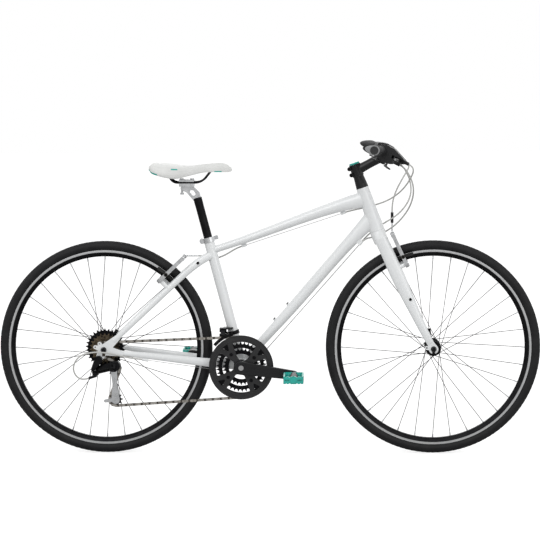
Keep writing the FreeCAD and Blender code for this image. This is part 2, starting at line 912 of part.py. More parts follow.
def chain_route(cage_turn):
    wheels, _ = chain_wheels(cage_turn)
    runs = []
    for k, (c1, n1, s1) in enumerate(wheels):
        c2, n2, s2 = wheels[(k + 1) % len(wheels)]
        runs.append(tangent(c1, pitch_radius(n1), s1, c2, pitch_radius(n2), s2))
    pieces = []
    for k, (start, end) in enumerate(runs):
        pieces.append(("run", start, end, (end - start).Length / chain_pitch))
        centre, teeth, way = wheels[(k + 1) % len(wheels)]
        leave = runs[(k + 1) % len(runs)][0]
        a = math.atan2((end - centre).z, (end - centre).x)
        b = math.atan2((leave - centre).z, (leave - centre).x)
        sweep = way * ((way * (b - a)) % (2.0 * math.pi))
        pieces.append(("wrap", centre, (a, sweep, teeth), abs(sweep) * teeth / (2.0 * math.pi)))
    return pieces


def chain_count(cage_turn):
    return sum(p[3] for p in chain_route(cage_turn))


def settled_cage():
    # The cage swings until the chain is a whole, even number of links.
    target = 2 * round(chain_count(cage_angle) / 2.0)
    low, high = cage_angle - chain_pitch, cage_angle + chain_pitch
    rising = chain_count(high) > chain_count(low)
    for _ in range(60):
        middle = (low + high) / 2.0
        if (chain_count(middle) > target) == rising:
            high = middle
        else:
            low = middle
    return low, target


cage_turn, link_count = settled_cage()


def chain_pins():
    pins, phases = [], []
    passed, due = 0.0, 0
    for kind, a, b, count in chain_route(cage_turn):
        phase = None
        while due < link_count and due <= passed + count:
            share = (due - passed) / count
            if kind == "run":
                pins.append(a + (b - a) * share)
            else:
                phase = b[0] + b[1] * share
                pins.append(polar(a.x, a.z, pitch_radius(b[2]), math.degrees(phase)))
            due += 1
        if kind == "wrap":
            phases.append(phase)
        passed += count
    return pins, phases


pins, (cog_phase, guide_phase, foot_phase, ring_phase) = chain_pins()


def link_plate(radius, low, hole):
    plate = bar_plate((0, 0), (chain_pitch, 0), radius, radius, low, low + chain_plate)
    if hole:
        for x in (0, chain_pitch):
            plate = plate.cut(Part.makeCylinder(hole, 2.0 * overrun, V(x, 0, low - overrun)))
    return plate


def inner_link():
    bore = chain_pin_radius + pivot_fit
    plates = [link_plate(inner_plate_radius, low, bore)
              for low in (chain_inner_half_width, -chain_inner_half_width - chain_plate)]
    rollers = [sleeve(V(x, 0, -chain_inner_half_width), V(x, 0, chain_inner_half_width), roller_radius,
                      bore)
               for x in (0, chain_pitch)]
    return joined(plates + rollers)


def outer_link():
    low = chain_inner_half_width + chain_plate + chain_plate_gap
    reach = low + chain_plate + chain_pin_end
    plates = [link_plate(outer_plate_radius, y, 0) for y in (low, -low - chain_plate)]
    rods = [rod(V(x, 0, -reach), V(x, 0, reach), chain_pin_radius) for x in (0, chain_pitch)]
    return joined(plates + rods)


def chain():
    kinds = (inner_link(), outer_link())
    links = []
    for k, pin in enumerate(pins):
        after = pins[(k + 1) % len(pins)]
        middle = (pin + after) / 2.0
        along = unit(after - pin)
        start = middle - along * (chain_pitch / 2.0)
        links.append(placed(kinds[k % 2], frame_of(start + V(0, chain_line, 0), along, V(0, -1, 0))))
    return Part.makeCompound(links)


def cassette():
    left = rear_hub_right - running_gap
    body = sleeve(V(rear_x, freehub_right, axle_height), V(rear_x, left, axle_height), freehub_radius,
                  freehub_bore)
    outermost = chain_line - sprocket_half_thickness
    ring = sleeve(V(rear_x, freehub_right, axle_height), V(rear_x, outermost - slip_fit, axle_height),
                  lock_ring_radius, freehub_radius + slip_fit)
    cogs = []
    for k, teeth in enumerate(cog_teeth):
        phase = cog_phase + k * math.pi / teeth
        cog = sprocket(teeth, phase, rear_x, chain_line + k * cog_spacing, axle_height,
                       freehub_radius + slip_fit)
        cogs.append(cog)
    return Part.makeCompound([body, ring] + cogs)


def pulley(centre, phase):
    disc = sprocket(pulley_teeth, phase, centre.x, chain_line, centre.z, pulley_hub_radius)
    boss = sleeve(V(centre.x, chain_line - pulley_hub_half_width, centre.z),
                  V(centre.x, chain_line + pulley_hub_half_width, centre.z),
                  pulley_hub_radius, pulley_bolt_radius + pivot_fit)
    return joined([disc, boss])


# Crankset
def spider_angles(lead):
    return [crank_angle + lead + k * full_turn / spider_arms for k in range(spider_arms)]


def spread(radius, lead, y):
    return [polar(bracket_x, bracket_z, radius, a, y) for a in spider_angles(lead)]


def ring_levels():
    return [chain_line + k * ring_spacing for k in range(len(ring_teeth))]


def chainring(index):
    teeth, y = ring_teeth[index], ring_levels()[index]
    circle = inner_bolt_circle if index == len(ring_teeth) - 1 else bolt_circle
    phase = ring_phase if index == 0 else math.radians(crank_angle)
    band = pitch_radius(teeth) - ring_band
    ring = sprocket(teeth, phase, bracket_x, y, bracket_z, band)
    low, high = y - sprocket_half_thickness, y + sprocket_half_thickness
    pieces = [ring]
    for angle in spider_angles(spider_lead):
        p = polar(0, 0, circle, angle)
        q = polar(0, 0, band + ring_band * spider_root_share - spider_tab_radius, angle)
        tab = upright_plate((p.x, p.z), (q.x, q.z), spider_tab_radius, spider_tab_radius, low, high)
        tab.translate(V(bracket_x, 0, bracket_z))
        pieces.append(tab)
    ring = joined(pieces)
    holes = [rod(p - V(0, overrun, 0), p + V(0, overrun, 0), ring_bolt_radius + slip_fit)
             for p in spread(circle, spider_lead, y)]
    return ring.cut(Part.makeCompound(holes))


def ring_bolts():
    outside = -guard_outer - ring_bolt_head_height
    inside = ring_levels()[1] + sprocket_half_thickness
    bolts = []
    for p, q, head in zip(spread(bolt_circle, spider_lead, outside),
                          spread(bolt_circle, spider_lead, inside),
                          spread(bolt_circle, spider_lead, -guard_outer)):
        bolts.append(joined([rod(p, q, ring_bolt_radius), rod(p, head, ring_bolt_head_radius)]))
    return bolts


def chainrings():
    return Part.makeCompound([chainring(k) for k in range(len(ring_teeth))] + ring_bolts())


def chain_guard():
    disc = cross_rod(bracket_x, bracket_z, -guard_outer, -guard_inner, guard_radius)
    low, high = -guard_outer - overrun, -guard_inner + overrun
    band = guard_radius - guard_rim_width
    cuts = []
    for angle in spider_angles(0.0):
        half = full_turn / spider_arms / 2.0 - guard_arm_half_angle
        arms = [polar(bracket_x, bracket_z, r, angle + s * half) for r, s in
                ((guard_hub_radius, -1.0), (band, -1.0), (band / math.cos(math.radians(half)), 0.0),
                 (band, 1.0), (guard_hub_radius, 1.0))]
        wedge = rounded_plate([(p.x, p.z) for p in arms], guard_window_round, low, high)
        cuts.append(wedge.common(cross_rod(bracket_x, bracket_z, low, high, band)))
    for angle in spider_angles(spider_lead):
        a = polar(0, 0, guard_slot_outer, angle)
        side = unit(polar(0, 0, 1.0, angle + full_turn / spider_arms))
        tri = [polar(0, 0, guard_slot_inner, angle), a + side * guard_slot_half_width,
               a - side * guard_slot_half_width]
        slot = rounded_plate([(p.x, p.z) for p in tri], guard_slot_round, low, high)
        slot.translate(V(bracket_x, 0, bracket_z))
        cuts.append(slot)
    cuts.append(cross_rod(bracket_x, bracket_z, low, high, crank_boss_radius + running_gap))
    inside = chain_line - sprocket_half_thickness
    bosses = [rod(p, q, guard_boss_radius) for p, q in
              zip(spread(bolt_circle, spider_lead, -guard_inner), spread(bolt_circle, spider_lead, inside))]
    holes = [rod(p, q, ring_bolt_radius + slip_fit) for p, q in
             zip(spread(bolt_circle, spider_lead, low), spread(bolt_circle, spider_lead, inside + overrun))]
    return joined([disc.cut(Part.makeCompound(cuts))] + bosses).cut(Part.makeCompound(holes))


def crank_arm():
    # The right arm in place; the left one is turned half round and mirrored.
    arm = upright_plate((0, 0), (pedal_x, pedal_z), crank_hub_radius, crank_eye_radius,
                        -crank_arm_outer, -crank_arm_inner)
    arm = eased(arm, crank_edge, lambda e: abs(e.BoundBox.YLength) < pivot_fit)
    arm.translate(V(bracket_x, 0, bracket_z))
    return arm


def crank_bores(solid, inner):
    bore = cross_rod(bracket_x, bracket_z, -inner + overrun, -spindle_half_length,
                     spindle_radius + slip_fit)
    recess = cross_rod(bracket_x, bracket_z, -spindle_half_length, -crank_arm_outer - overrun,
                       crank_bolt_recess)
    eye = cross_rod(bracket_x + pedal_x, bracket_z + pedal_z, -crank_arm_inner + overrun,
                    -crank_arm_outer - overrun, pedal_spindle_radius + slip_fit)
    return solid.cut(Part.makeCompound([bore, recess, eye]))


def pedal_spindle():
    x, z = bracket_x + pedal_x, bracket_z + pedal_z
    thread = cross_rod(x, z, -crank_arm_inner, -pedal_outer + pedal_wall, pedal_spindle_radius)
    collar = cross_rod(x, z, -crank_arm_outer, -crank_arm_outer - pedal_collar_length, pedal_collar_radius)
    return joined([thread, collar])


def right_crank():
    levels = ring_levels()
    low = levels[0] + sprocket_half_thickness
    high = levels[1] - sprocket_half_thickness
    plates = [cross_rod(bracket_x, bracket_z, low, high, spider_hub_radius)]
    for p in spread(bolt_circle, spider_lead, 0):
        plates.append(upright_plate((bracket_x, bracket_z), (p.x, p.z), crank_hub_radius / 2.0,
                                    spider_tab_radius,
                                    low, high))
    stands = [rod(p, q, standoff_radius) for p, q in
              zip(spread(inner_bolt_circle, spider_lead, low),
                  spread(inner_bolt_circle, spider_lead, levels[2] - sprocket_half_thickness))]
    boss = cross_rod(bracket_x, bracket_z, levels[2], -crank_arm_inner - overrun, crank_boss_radius)
    solid = joined([crank_arm(), boss] + plates + stands)
    holes = [rod(p, q, ring_bolt_radius + slip_fit) for p, q in
             zip(spread(bolt_circle, spider_lead, low - overrun),
                 spread(bolt_circle, spider_lead, high + overrun))]
    return Part.makeCompound([crank_bores(solid.cut(Part.makeCompound(holes)), -levels[2]),
                              pedal_spindle()])


def turned_over(shape):
    # The left side of the crankset: half a turn round the spindle, then mirrored.
    half = shape.copy()
    half.rotate(bracket, V(0, 1, 0), full_turn / 2.0)
    return mirrored(half)


def left_crank():
    boss = cross_rod(bracket_x, bracket_z, -left_boss_inner, -crank_arm_inner - overrun, crank_boss_radius)
    solid = crank_bores(joined([crank_arm(), boss]), left_boss_inner)
    return turned_over(Part.makeCompound([solid, pedal_spindle()]))


def crank_spindle():
    bolts = [cross_rod(bracket_x, bracket_z, s * spindle_half_length,
                       s * (spindle_half_length + crank_bolt_length),
                       crank_bolt_radius) for s in (1.0, -1.0)]
    return joined([cross_rod(bracket_x, bracket_z, -spindle_half_length, spindle_half_length,
                             spindle_radius)] + bolts)


def right_pedal():
    x, z = bracket_x + pedal_x, bracket_z + pedal_z
    reach = pedal_half_length - pedal_wall
    inner = pedal_inner + pedal_wall
    outer = pedal_outer - pedal_wall
    core = [cross_rod(0, 0, -inner, -outer, pedal_core_radius)]
    for y in (-inner - pedal_wing_half_width, -outer + pedal_wing_half_width):
        core.append(block((-reach, reach), (y - pedal_wing_half_width, y + pedal_wing_half_width),
                          (-pedal_wing_half_height, pedal_wing_half_height)))
    core = joined(core).cut(cross_rod(0, 0, 0, -pedal_outer - overrun, pedal_spindle_radius + pivot_fit))

    def ring(inset):
        out = [(pedal_half_length - inset, -pedal_inner - inset),
               (pedal_half_length - inset, -pedal_outer + inset),
               (-pedal_half_length + inset, -pedal_outer + inset), (-pedal_half_length + inset,
                                                                    -pedal_inner - inset)]
        wire = rounded_wire([V(a, b, -pedal_half_height) for a, b in out], pedal_corner - inset)
        return Part.Face(wire).extrude(V(0, 0, 2.0 * pedal_half_height))
    cage = ring(0.0).cut(ring(pedal_wall))
    cuts = []
    for k in range(pedal_notch_count):
        shift = (k - (pedal_notch_count - 1) / 2.0) * pedal_notch_pitch
        for level in (pedal_half_height + pedal_notch_rise, -pedal_half_height - pedal_notch_rise):
            stretch = (pedal_outer - pedal_inner) / (2.0 * pedal_half_length)
            y = -(pedal_inner + pedal_outer) / 2.0 + shift * stretch
            cuts.append(rod(V(-pedal_half_length - overrun, y, level),
                            V(pedal_half_length + overrun, y, level),
                            pedal_notch_radius))
            cuts.append(rod(V(shift, -pedal_outer - overrun, level),
                            V(shift, -pedal_outer + pedal_wall + slip_fit, level),
                            pedal_notch_radius))
    for side in (1.0, -1.0):
        cuts.append(block((side * pedal_slot_x - pedal_slot_half_length,
                           side * pedal_slot_x + pedal_slot_half_length),
                          (-pedal_outer - overrun, -outer + slip_fit),
                          (-pedal_slot_half_height, pedal_slot_half_height)))
    cuts.append(cross_rod(0, 0, 0, -inner - overrun, pedal_collar_radius + running_gap))
    cage = cage.cut(Part.makeCompound(cuts))
    cap = cross_rod(0, 0, -pedal_outer, -pedal_outer - pedal_cap_length, pedal_cap_radius)
    pedal = Part.makeCompound([core.cut(cage), cage, cap])
    pedal.translate(V(x, 0, z))
    return pedal


# Frame
def shell_outside():
    return cross_rod(bracket_x, bracket_z, -shell_half_width, shell_half_width, shell_radius)


def seat_outside():
    return rod(on_seat(0), on_seat(seat_tube_length), seat_tube_radius)


def head_outside():
    return cone(on_head(0), on_head(head_tube_length), head_foot_radius, head_top_radius)


def seat_tube():
    body = joined([seat_outside(), shell_outside()])
    bore = rod(on_seat(shell_radius + overrun), on_seat(seat_tube_length + overrun), post_radius + slip_fit)
    ends = cross_rod(bracket_x, bracket_z, -shell_half_width - overrun, shell_half_width + overrun,
                     shell_bore)
    slot = block((0, seat_tube_radius + overrun), (-seat_slot_half_width, seat_slot_half_width),
                 (-seat_slot_length, overrun))
    slot = placed(slot, frame_of(on_seat(seat_tube_length), seat_back, seat_up))
    return body.cut(Part.makeCompound([bore, ends, slot]))


def head_tube():
    return head_outside().cut(rod(on_head(-overrun), on_head(head_tube_length + overrun), head_bore))


def plane_tube(stations, wall):
    centres = [V(x, 0, z) for x, z, a, b in stations]
    return hollow_tube(centres, [(a, b) for x, z, a, b in stations], wall)


def top_axis():
    first, last = top_tube_stations[0], top_tube_stations[-2]
    along = unit(V(last[0] - first[0], 0, last[1] - first[1]))
    return along, V(-along.z, 0, along.x)


def top_stop(x):
    along, up = top_axis()
    for (x1, z1, h1, w1), (x2, z2, h2, w2) in zip(top_tube_stations, top_tube_stations[1:]):
        if x1 <= x <= x2:
            share = (x - x1) / (x2 - x1)
            centre = V(x, top_stop_y, z1 + (z2 - z1) * share)
            return centre - up * (h1 + (h2 - h1) * share + cable_drop)


def top_tube():
    tube = plane_tube(top_tube_stations, tube_wall).cut(seat_outside()).cut(head_outside())
    along, up = top_axis()
    stops = [cable_stop(top_stop(top_stop_x[1]), along, up),
             cable_stop(top_stop(top_stop_x[0]) + along * cable_stop_length, along * -1.0, up)]
    solid = plane_top_solid()
    return Part.makeCompound([tube] + [stop.cut(solid) for stop in stops])


def down_axis():
    first, last = down_tube_stations[0], down_tube_stations[-2]
    p, q = V(first[0], 0, first[1]), V(last[0], 0, last[1])
    along = unit(q - p)
    return p, q, along, V(-along.z, 0, along.x)


def down_half(share):
    p, q, along, up = down_axis()
    at = p + (q - p) * share
    for (x1, z1, h1, w1), (x2, z2, h2, w2) in zip(down_tube_stations, down_tube_stations[1:]):
        if x1 <= at.x <= x2:
            return h1 + (h2 - h1) * (at.x - x1) / (x2 - x1)
    return down_tube_stations[-1][2]


def down_tube():
    tube = plane_tube(down_tube_stations, tube_wall)
    tube = tube.cut(shell_outside()).cut(seat_outside()).cut(head_outside()).cut(plane_top_solid())
    p, q, along, up = down_axis()
    bosses = []
    for share in bottle_boss_shares:
        foot = p + (q - p) * share + up * (down_half(share) - boss_depth)
        top = foot + up * (boss_depth + boss_height)
        tube = tube.cut(rod(foot, top, boss_radius))
        bosses.append(sleeve(foot, top, boss_radius, boss_thread_radius))
    solid = down_solid()
    stops = [cable_stop(down_stop(side), along, up).cut(solid) for side in (1.0, -1.0)]
    return Part.makeCompound([tube] + bosses + stops)


def down_stop(side):
    p, q, along, up = down_axis()
    drop = up * (down_half(cable_stop_share) + cable_drop)
    return p + (q - p) * cable_stop_share - drop + V(0, side * cable_spread, 0)


def cable_stop(at, along, up):
    # A small barrel on a foot; the housing sits in its front half and the bare cable leaves at the back.
    barrel = rod(at, at + along * cable_stop_length, cable_stop_radius)
    foot = block((0, cable_stop_length), (-housing_radius, housing_radius),
                 (0, cable_drop + cable_stop_radius * 2.0))
    middle = at + along * (cable_stop_length / 2.0)
    seat = rod(middle, at + along * (cable_stop_length + overrun), housing_radius + slip_fit)
    small = rod(at - along * overrun, middle + along * slip_fit, bare_radius + cable_play)
    return joined([barrel, placed(foot, frame_of(at, along, up))]).cut(seat).cut(small)


def down_solid():
    return oval_tube([V(x, 0, z) for x, z, a, b in down_tube_stations],
                     [(a, b) for x, z, a, b in down_tube_stations])


def plane_top_solid():
    return oval_tube([V(x, 0, z) for x, z, a, b in top_tube_stations],
                     [(a, b) for x, z, a, b in top_tube_stations])


def stay(stations):
    return oval_tube([V(x, y, z) for x, y, z, a, b in stations], [(a, b) for x, y, z, a, b in stations])


def dropout_outline(right):
    centre = (rear_x, axle_height)
    y = (-dropout_outer, -dropout_inner)
    pieces = [upright_plate(centre, chainstay_root, dropout_radius, dropout_arm_radius, *y),
              upright_plate(centre, seatstay_root, dropout_radius, dropout_arm_radius, *y)]
    for eye in eyelets:
        pieces.append(upright_plate(centre, eye, dropout_arm_radius, eyelet_radius, *y))
    if right:
        pieces.append(upright_plate(centre, hanger, dropout_radius, hanger_radius, *y))
    plate = joined(pieces)
    low = axle_height - dropout_radius - overrun
    slot = block((rear_x - dropout_slot_half_width, rear_x + dropout_slot_half_width),
                 (-dropout_outer - overrun, -dropout_inner + overrun), (low, axle_height))
    cuts = [slot, cross_rod(rear_x, axle_height, -dropout_outer - overrun, -dropout_inner + overrun,
                            dropout_slot_half_width)]
    for eye in eyelets:
        cuts.append(cross_rod(eye[0], eye[1], -dropout_outer - overrun, -dropout_inner + overrun,
                              eyelet_bore))
    if right:
        cuts.append(cross_rod(hanger[0], hanger[1], -dropout_outer - overrun, -dropout_inner + overrun,
                              hanger_bore + slip_fit))
    return plate.cut(Part.makeCompound(cuts))


def chainstay_side(right):
    bar = stay(chainstay_stations)
    keep_out = shell_outside()
    solid = joined([bar.cut(keep_out), dropout_outline(right)])
    if right:
        start, end = V(*stay_stop), V(*stay_stop_end)
        along = unit(end - start)
        stop = rod(start, end, cable_stop_radius)
        web = rod((start + end) / 2.0, (start + end) / 2.0 + V(0, 0, cable_drop + cable_stop_radius),
                  housing_radius)
        seat = rod((start + end) / 2.0, end + along * overrun, housing_radius + slip_fit)
        small = rod(start - along * overrun, end, bare_radius + cable_play)
        solid = joined([solid, stop, web]).cut(seat).cut(small)
    inside = block((rear_x - dropout_radius, rear_x + dropout_radius * 2.0), (-dropout_inner, 0),
                   (axle_height - dropout_radius, axle_height + dropout_radius))
    return solid.cut(inside)


def chainstays():
    return Part.makeCompound([chainstay_side(True), mirrored(chainstay_side(False))])


def along_stations(stations, share):
    reach = share * (len(stations) - 1)
    k = min(int(reach), len(stations) - 2)
    a, b = V(*stations[k][:3]), V(*stations[k + 1][:3])
    return a + (b - a) * (reach - k), unit(b - a)


def brake_frame(x, angle, side):
    # Directions at a brake: outward along the wheel, along the rim away from the stay, and sideways.
    radial = polar(0, 0, 1.0, angle)
    around = polar(0, 0, 1.0, angle + full_turn / 4.0) if x < 0 else polar(0, 0, 1.0,
                                                                           angle - full_turn / 4.0)
    origin = polar(x, axle_height, brake_stud_circle, angle) + V(0, side * brake_stud_spread, 0)
    return origin, radial, around


def brake_stud(x, angle):
    origin, radial, around = brake_frame(x, angle, -1.0)
    return joined([rod(origin, origin + around * brake_arm_front, brake_boss_radius),
                   rod(origin, origin + around * brake_stud_reach, brake_stud_radius)])


def seatstay_side():
    solid = joined([stay(seatstay_stations), brake_stud(rear_x, rear_brake_angle)])
    at, along = along_stations(seatstay_stations, rack_boss_share)
    hole = rod(at + V(0, -rack_bore_reach, 0), at, boss_thread_radius)
    return solid.cut(hole).cut(seat_outside()).cut(dropout_outline(True))


def seatstays():
    right = seatstay_side()
    left = mirrored(right)
    at, along = along_stations(seatstay_stations, bridge_share)
    bridge = rod(at, V(at.x, -at.y, at.z), bridge_radius).cut(right).cut(left)
    middle = seat_outside()
    return Part.makeCompound([right, left.cut(right), bridge.cut(middle)])


def bottom_bracket():
    tube = sleeve(V(bracket_x, -shell_half_width, bracket_z), V(bracket_x, shell_half_width, bracket_z),
                  shell_bore - slip_fit, spindle_radius + pivot_fit)
    flanges = [sleeve(V(bracket_x, s * (shell_half_width + slip_fit), bracket_z),
                      V(bracket_x, s * (shell_half_width + cup_flange_width), bracket_z),
                      cup_flange_radius, spindle_radius + pivot_fit) for s in (1.0, -1.0)]
    fill = [sleeve(V(bracket_x, s * shell_half_width, bracket_z),
                   V(bracket_x, s * (shell_half_width + cup_flange_width), bracket_z),
                   shell_bore - slip_fit, spindle_radius + pivot_fit) for s in (1.0, -1.0)]
    guide = sector(shell_radius + slip_fit, shell_radius + cable_drop - bare_radius - slip_fit, guide_arc,
                   -guide_half_width, guide_half_width)
    return Part.makeCompound([joined([tube] + flanges + fill), guide])


def seat_collar():
    low, high = on_seat(seat_tube_length - collar_height), on_seat(seat_tube_length)
    outer = seat_tube_radius + collar_wall
    ring = rod(low, high, outer)
    lug = block((0, collar_lug_setback), (-collar_lug_half_width, collar_lug_half_width),
                (-collar_height, 0))
    lug = eased(lug, collar_lug_radius, lambda e: e.BoundBox.YLength > collar_lug_half_width
                and e.CenterOfMass.x > collar_lug_setback - slip_fit)
    slit = block((0, collar_lug_setback + overrun), (-collar_slit_half_width, collar_slit_half_width),
                 (-collar_height - overrun, overrun))
    frame = frame_of(high, seat_back, seat_up)
    bolt_x = collar_lug_setback - collar_lug_radius
    level = -collar_height / 2.0
    bolt = rod(V(bolt_x, -collar_lug_half_width - release_base_height, level),
               V(bolt_x, collar_lug_half_width + slip_fit, level), collar_bolt_radius)
    nut = rod(V(bolt_x, -collar_lug_half_width - release_base_height, level),
              V(bolt_x, -collar_lug_half_width, level), collar_lug_radius)
    solid = joined([ring, placed(lug, frame)]).cut(rod(low - seat_up * overrun, high + seat_up * overrun,
                                                       seat_tube_radius + slip_fit))
    solid = solid.cut(placed(slit, frame))
    grip = frame_of(high + seat_back * bolt_x + seat_up * level + V(0, collar_lug_half_width, 0),
                    V(-seat_back.x, 0, -seat_back.z), V(0, 1, 0))
    base = joined([placed(bolt, frame), placed(nut, frame), placed(release_base(), grip)])
    return joined([solid, base]), placed(release_lever(), grip)


# Seat
def post_outside(low, high, radius):
    return rod(on_seat(low), on_seat(high), radius)


def seatpost():
    tube = post_outside(post_foot, post_top, post_radius).cut(
        post_outside(post_foot - overrun, post_top - post_radius, post_radius - tube_wall))
    neck = rounded_plate(head_outline, head_round, -head_half_width, head_half_width)
    window = rounded_plate(head_window, window_round, -head_half_width - overrun, head_half_width + overrun)
    collar = post_outside(post_top, post_collar_top, post_collar_radius)
    neck = joined([neck, collar]).cut(window).cut(post_outside(post_foot, post_top, post_radius))
    x = cradle_x
    y = (-cradle_half_width, cradle_half_width)
    lower = block(x, y, cradle_levels)
    upper = block(x, y, clamp_levels)
    rails = [rod(V(x[0] - overrun, s * rail_spread, rail_level),
                 V(x[1] + overrun, s * rail_spread, rail_level),
                 rail_radius + slip_fit) for s in (1.0, -1.0)]
    bolts = []
    for share in clamp_bolt_shares:
        at = x[0] + (x[1] - x[0]) * share
        shaft = rod(V(at, 0, cradle_levels[1]), V(at, 0, clamp_levels[0]), clamp_bolt_radius)
        head = rod(V(at, 0, clamp_levels[1]), V(at, 0, clamp_levels[1] + clamp_bolt_radius),
                   clamp_bolt_nut_radius)
        bolts += [shaft, head]
    at = x[0] + (x[1] - x[0]) * clamp_bolt_shares[0]
    foot = V(at, 0, clamp_bolt_foot)
    bolts.append(rod(foot, V(at, 0, cradle_levels[0]), clamp_bolt_radius))
    bolts.append(rod(foot, foot + V(0, 0, clamp_bolt_nut_height), clamp_bolt_nut_radius))
    clamp = joined([lower, upper] + bolts).cut(Part.makeCompound(rails))
    return Part.makeCompound([tube, neck.cut(clamp), clamp])


def saddle_section(x, half, low, top, rim_level):
    # Half of the outline is drawn from the crown down to the lip, the other half is its mirror image.
    side = [(half * across, top - (top - rim_level) * drop) for across, drop in cushion_crown_shares]
    side += [(half, (rim_level + low) / 2.0 + cushion_lip), (half * cushion_skirt_share, low),
             (half * cushion_lip_share, low + cushion_lip), (half * cushion_hollow_share, rim_level)]
    points = [V(x, y, z) for y, z in side] + [V(x, 0, rim_level)] + [V(x, -y, z) for y,
                                                                     z in reversed(side[1:])]
    curve = Part.BSplineCurve()
    curve.interpolate(Points=points, PeriodicFlag=True)
    return Part.Wire([curve.toShape()])


def saddle_cushion():
    return Part.makeLoft([saddle_section(*s) for s in cushion_stations], True, False)


def saddle_frame(cushion):
    wires = [oval(V(x, 0, (low + high) / 2.0), V(0, 1, 0), V(0, 0, 1), half, (high - low) / 2.0)
             for x, half, low, high in shell_stations]
    base = Part.makeLoft(wires, True, False).cut(cushion)
    rails = [hose(rail_path, rail_radius)]
    rails.append(mirrored(rails[0]))
    rails = [r.cut(cushion) for r in rails]
    parts = [max(base.Solids, key=lambda s: s.Volume)]
    for r in rails:
        parts.append(max(r.cut(parts[0]).Solids, key=lambda s: s.Volume))
    return Part.makeCompound(parts)


# Fork, headset, stem and bar
def on_blade(share, offset):
    root = V(blade_root[0], 0, blade_root[1])
    along = V(front_x, 0, axle_height) - root
    return root + along * share + unit(V(-along.z, 0, along.x)) * offset


def fork_crown():
    wires = []
    for level, fore, across in crown_stations:
        wires.append(oval(on_head(level - running_gap), head_ahead, V(0, 1, 0), fore, across))
    steerer = rod(on_head(-crown_stations[1][1]), on_head(stem_head), steerer_radius)
    return joined([Part.makeLoft(wires, True, False), steerer])


def fork_side():
    centres = [on_blade(share, station[0]) + V(0, station[1], 0)
               for share, station in zip(blade_shares, blade_stations)]
    blade = oval_tube(centres, [station[2:] for station in blade_stations])
    axle, last = (front_x, axle_height), (centres[-1].x, centres[-1].z)
    tip_y = (-fork_tip_outer, -fork_tip_inner)
    tip = upright_plate(axle, last, fork_tip_radius, fork_tip_radius * fork_tip_root_share, *tip_y)
    eye = upright_plate(axle, fork_eyelet, eyelet_radius, eyelet_radius, *tip_y)
    outside, inside = -fork_tip_outer - overrun, -fork_tip_inner + overrun
    slot = block((front_x - dropout_slot_half_width, front_x + dropout_slot_half_width), (outside, inside),
                 (axle_height - fork_tip_radius - overrun, axle_height))
    hole = on_blade(fork_mid_hole_share, fork_mid_hole_offset)
    cuts = [slot, cross_rod(front_x, axle_height, outside, inside, dropout_slot_half_width),
            cross_rod(front_x, axle_height, -fork_tip_inner, 0, locknut_radius + fork_tip_radius),
            cross_rod(fork_eyelet[0], fork_eyelet[1], outside, inside, eyelet_bore),
            cross_rod(hole.x, hole.z, -fork_tip_outer - boss_depth, -fork_tip_outer + boss_depth,
                      boss_thread_radius)]
    side = joined([blade, tip, eye, brake_stud(front_x, front_brake_angle)])
    return side.cut(Part.makeCompound(cuts))


def fork():
    crown = fork_crown()
    side = fork_side()
    return Part.makeCompound([crown, side.cut(crown), mirrored(side).cut(crown)])


def headset():
    rings = []
    for low in (0.0, head_tube_length - bearing_height):
        rings.append(sleeve(on_head(low), on_head(low + bearing_height), head_bore - slip_fit,
                            steerer_radius + slip_fit))
    bottom, top = on_head(head_tube_length + running_gap), on_head(cover_top)
    cover = cone(bottom, top, head_top_radius, cover_top_radius)
    cover = cover.cut(rod(bottom - head_up * overrun, top + head_up * overrun, steerer_radius + slip_fit))
    cap = rod(on_head(stem_head + running_gap), on_head(stem_head + running_gap + cap_height), cap_radius)
    cap = eased(cap, cap_height / 2.0, lambda e: e.CenterOfMass.z > on_head(stem_head + cap_height).z)
    return Part.makeCompound(rings + [cover, cap])


def bar_centre():
    a = math.radians(stem_rise)
    return on_head(stem_root) + V(math.cos(a), 0, math.sin(a)) * stem_length


def stem():
    clamp = rod(on_head(stem_foot), on_head(stem_head), stem_clamp_radius)
    start, end = on_head(stem_root), bar_centre()
    along = end - start
    centres = [start, start + along * stem_neck_share, end]
    halves = [(stem_half_height, stem_half_width), (stem_neck_half_height, stem_half_width),
              (stem_half_height, stem_half_width)]
    body = oval_tube(centres, halves)
    grip = cross_rod(end.x, end.z, -bar_clamp_half_width, bar_clamp_half_width, bar_clamp_radius)
    lumps = []
    for level in stem_bolt_levels:
        at = on_head(level) - head_ahead * stem_bolt_setback
        lumps.append(cross_rod(at.x, at.z, -stem_bolt_half_width, stem_bolt_half_width, stem_bolt_radius))
    solid = joined([clamp, body, grip] + lumps)
    trim = rod(on_head(stem_head), on_head(stem_head + bar_clamp_radius * 2.0), stem_clamp_radius)
    bores = [rod(on_head(stem_foot - overrun), on_head(stem_head + overrun), steerer_radius + slip_fit),
             cross_rod(end.x, end.z, -bar_clamp_half_width - overrun, bar_clamp_half_width + overrun,
                       bar_bulge_radius + slip_fit), trim]
    return solid.cut(Part.makeCompound(bores))


def handlebar():
    centre = bar_centre()
    half = [V(centre.x, -bar_root, centre.z), V(bar_shoulder[0], -bar_shoulder[1], bar_shoulder[2]),
            V(bar_end[0], -bar_end[1], bar_end[2])]
    points = [V(p.x, -p.y, p.z) for p in reversed(half)] + half
    tube = hose([(p.x, p.y, p.z) for p in points], bar_radius)
    bulge = cross_rod(centre.x, centre.z, -bar_bulge_half_length, bar_bulge_half_length, bar_bulge_radius)
    out = unit(half[2] - half[1])
    plug = rod(half[2], half[2] + out * plug_length, plug_radius)
    return joined([tube, bulge, plug, mirrored(plug)])


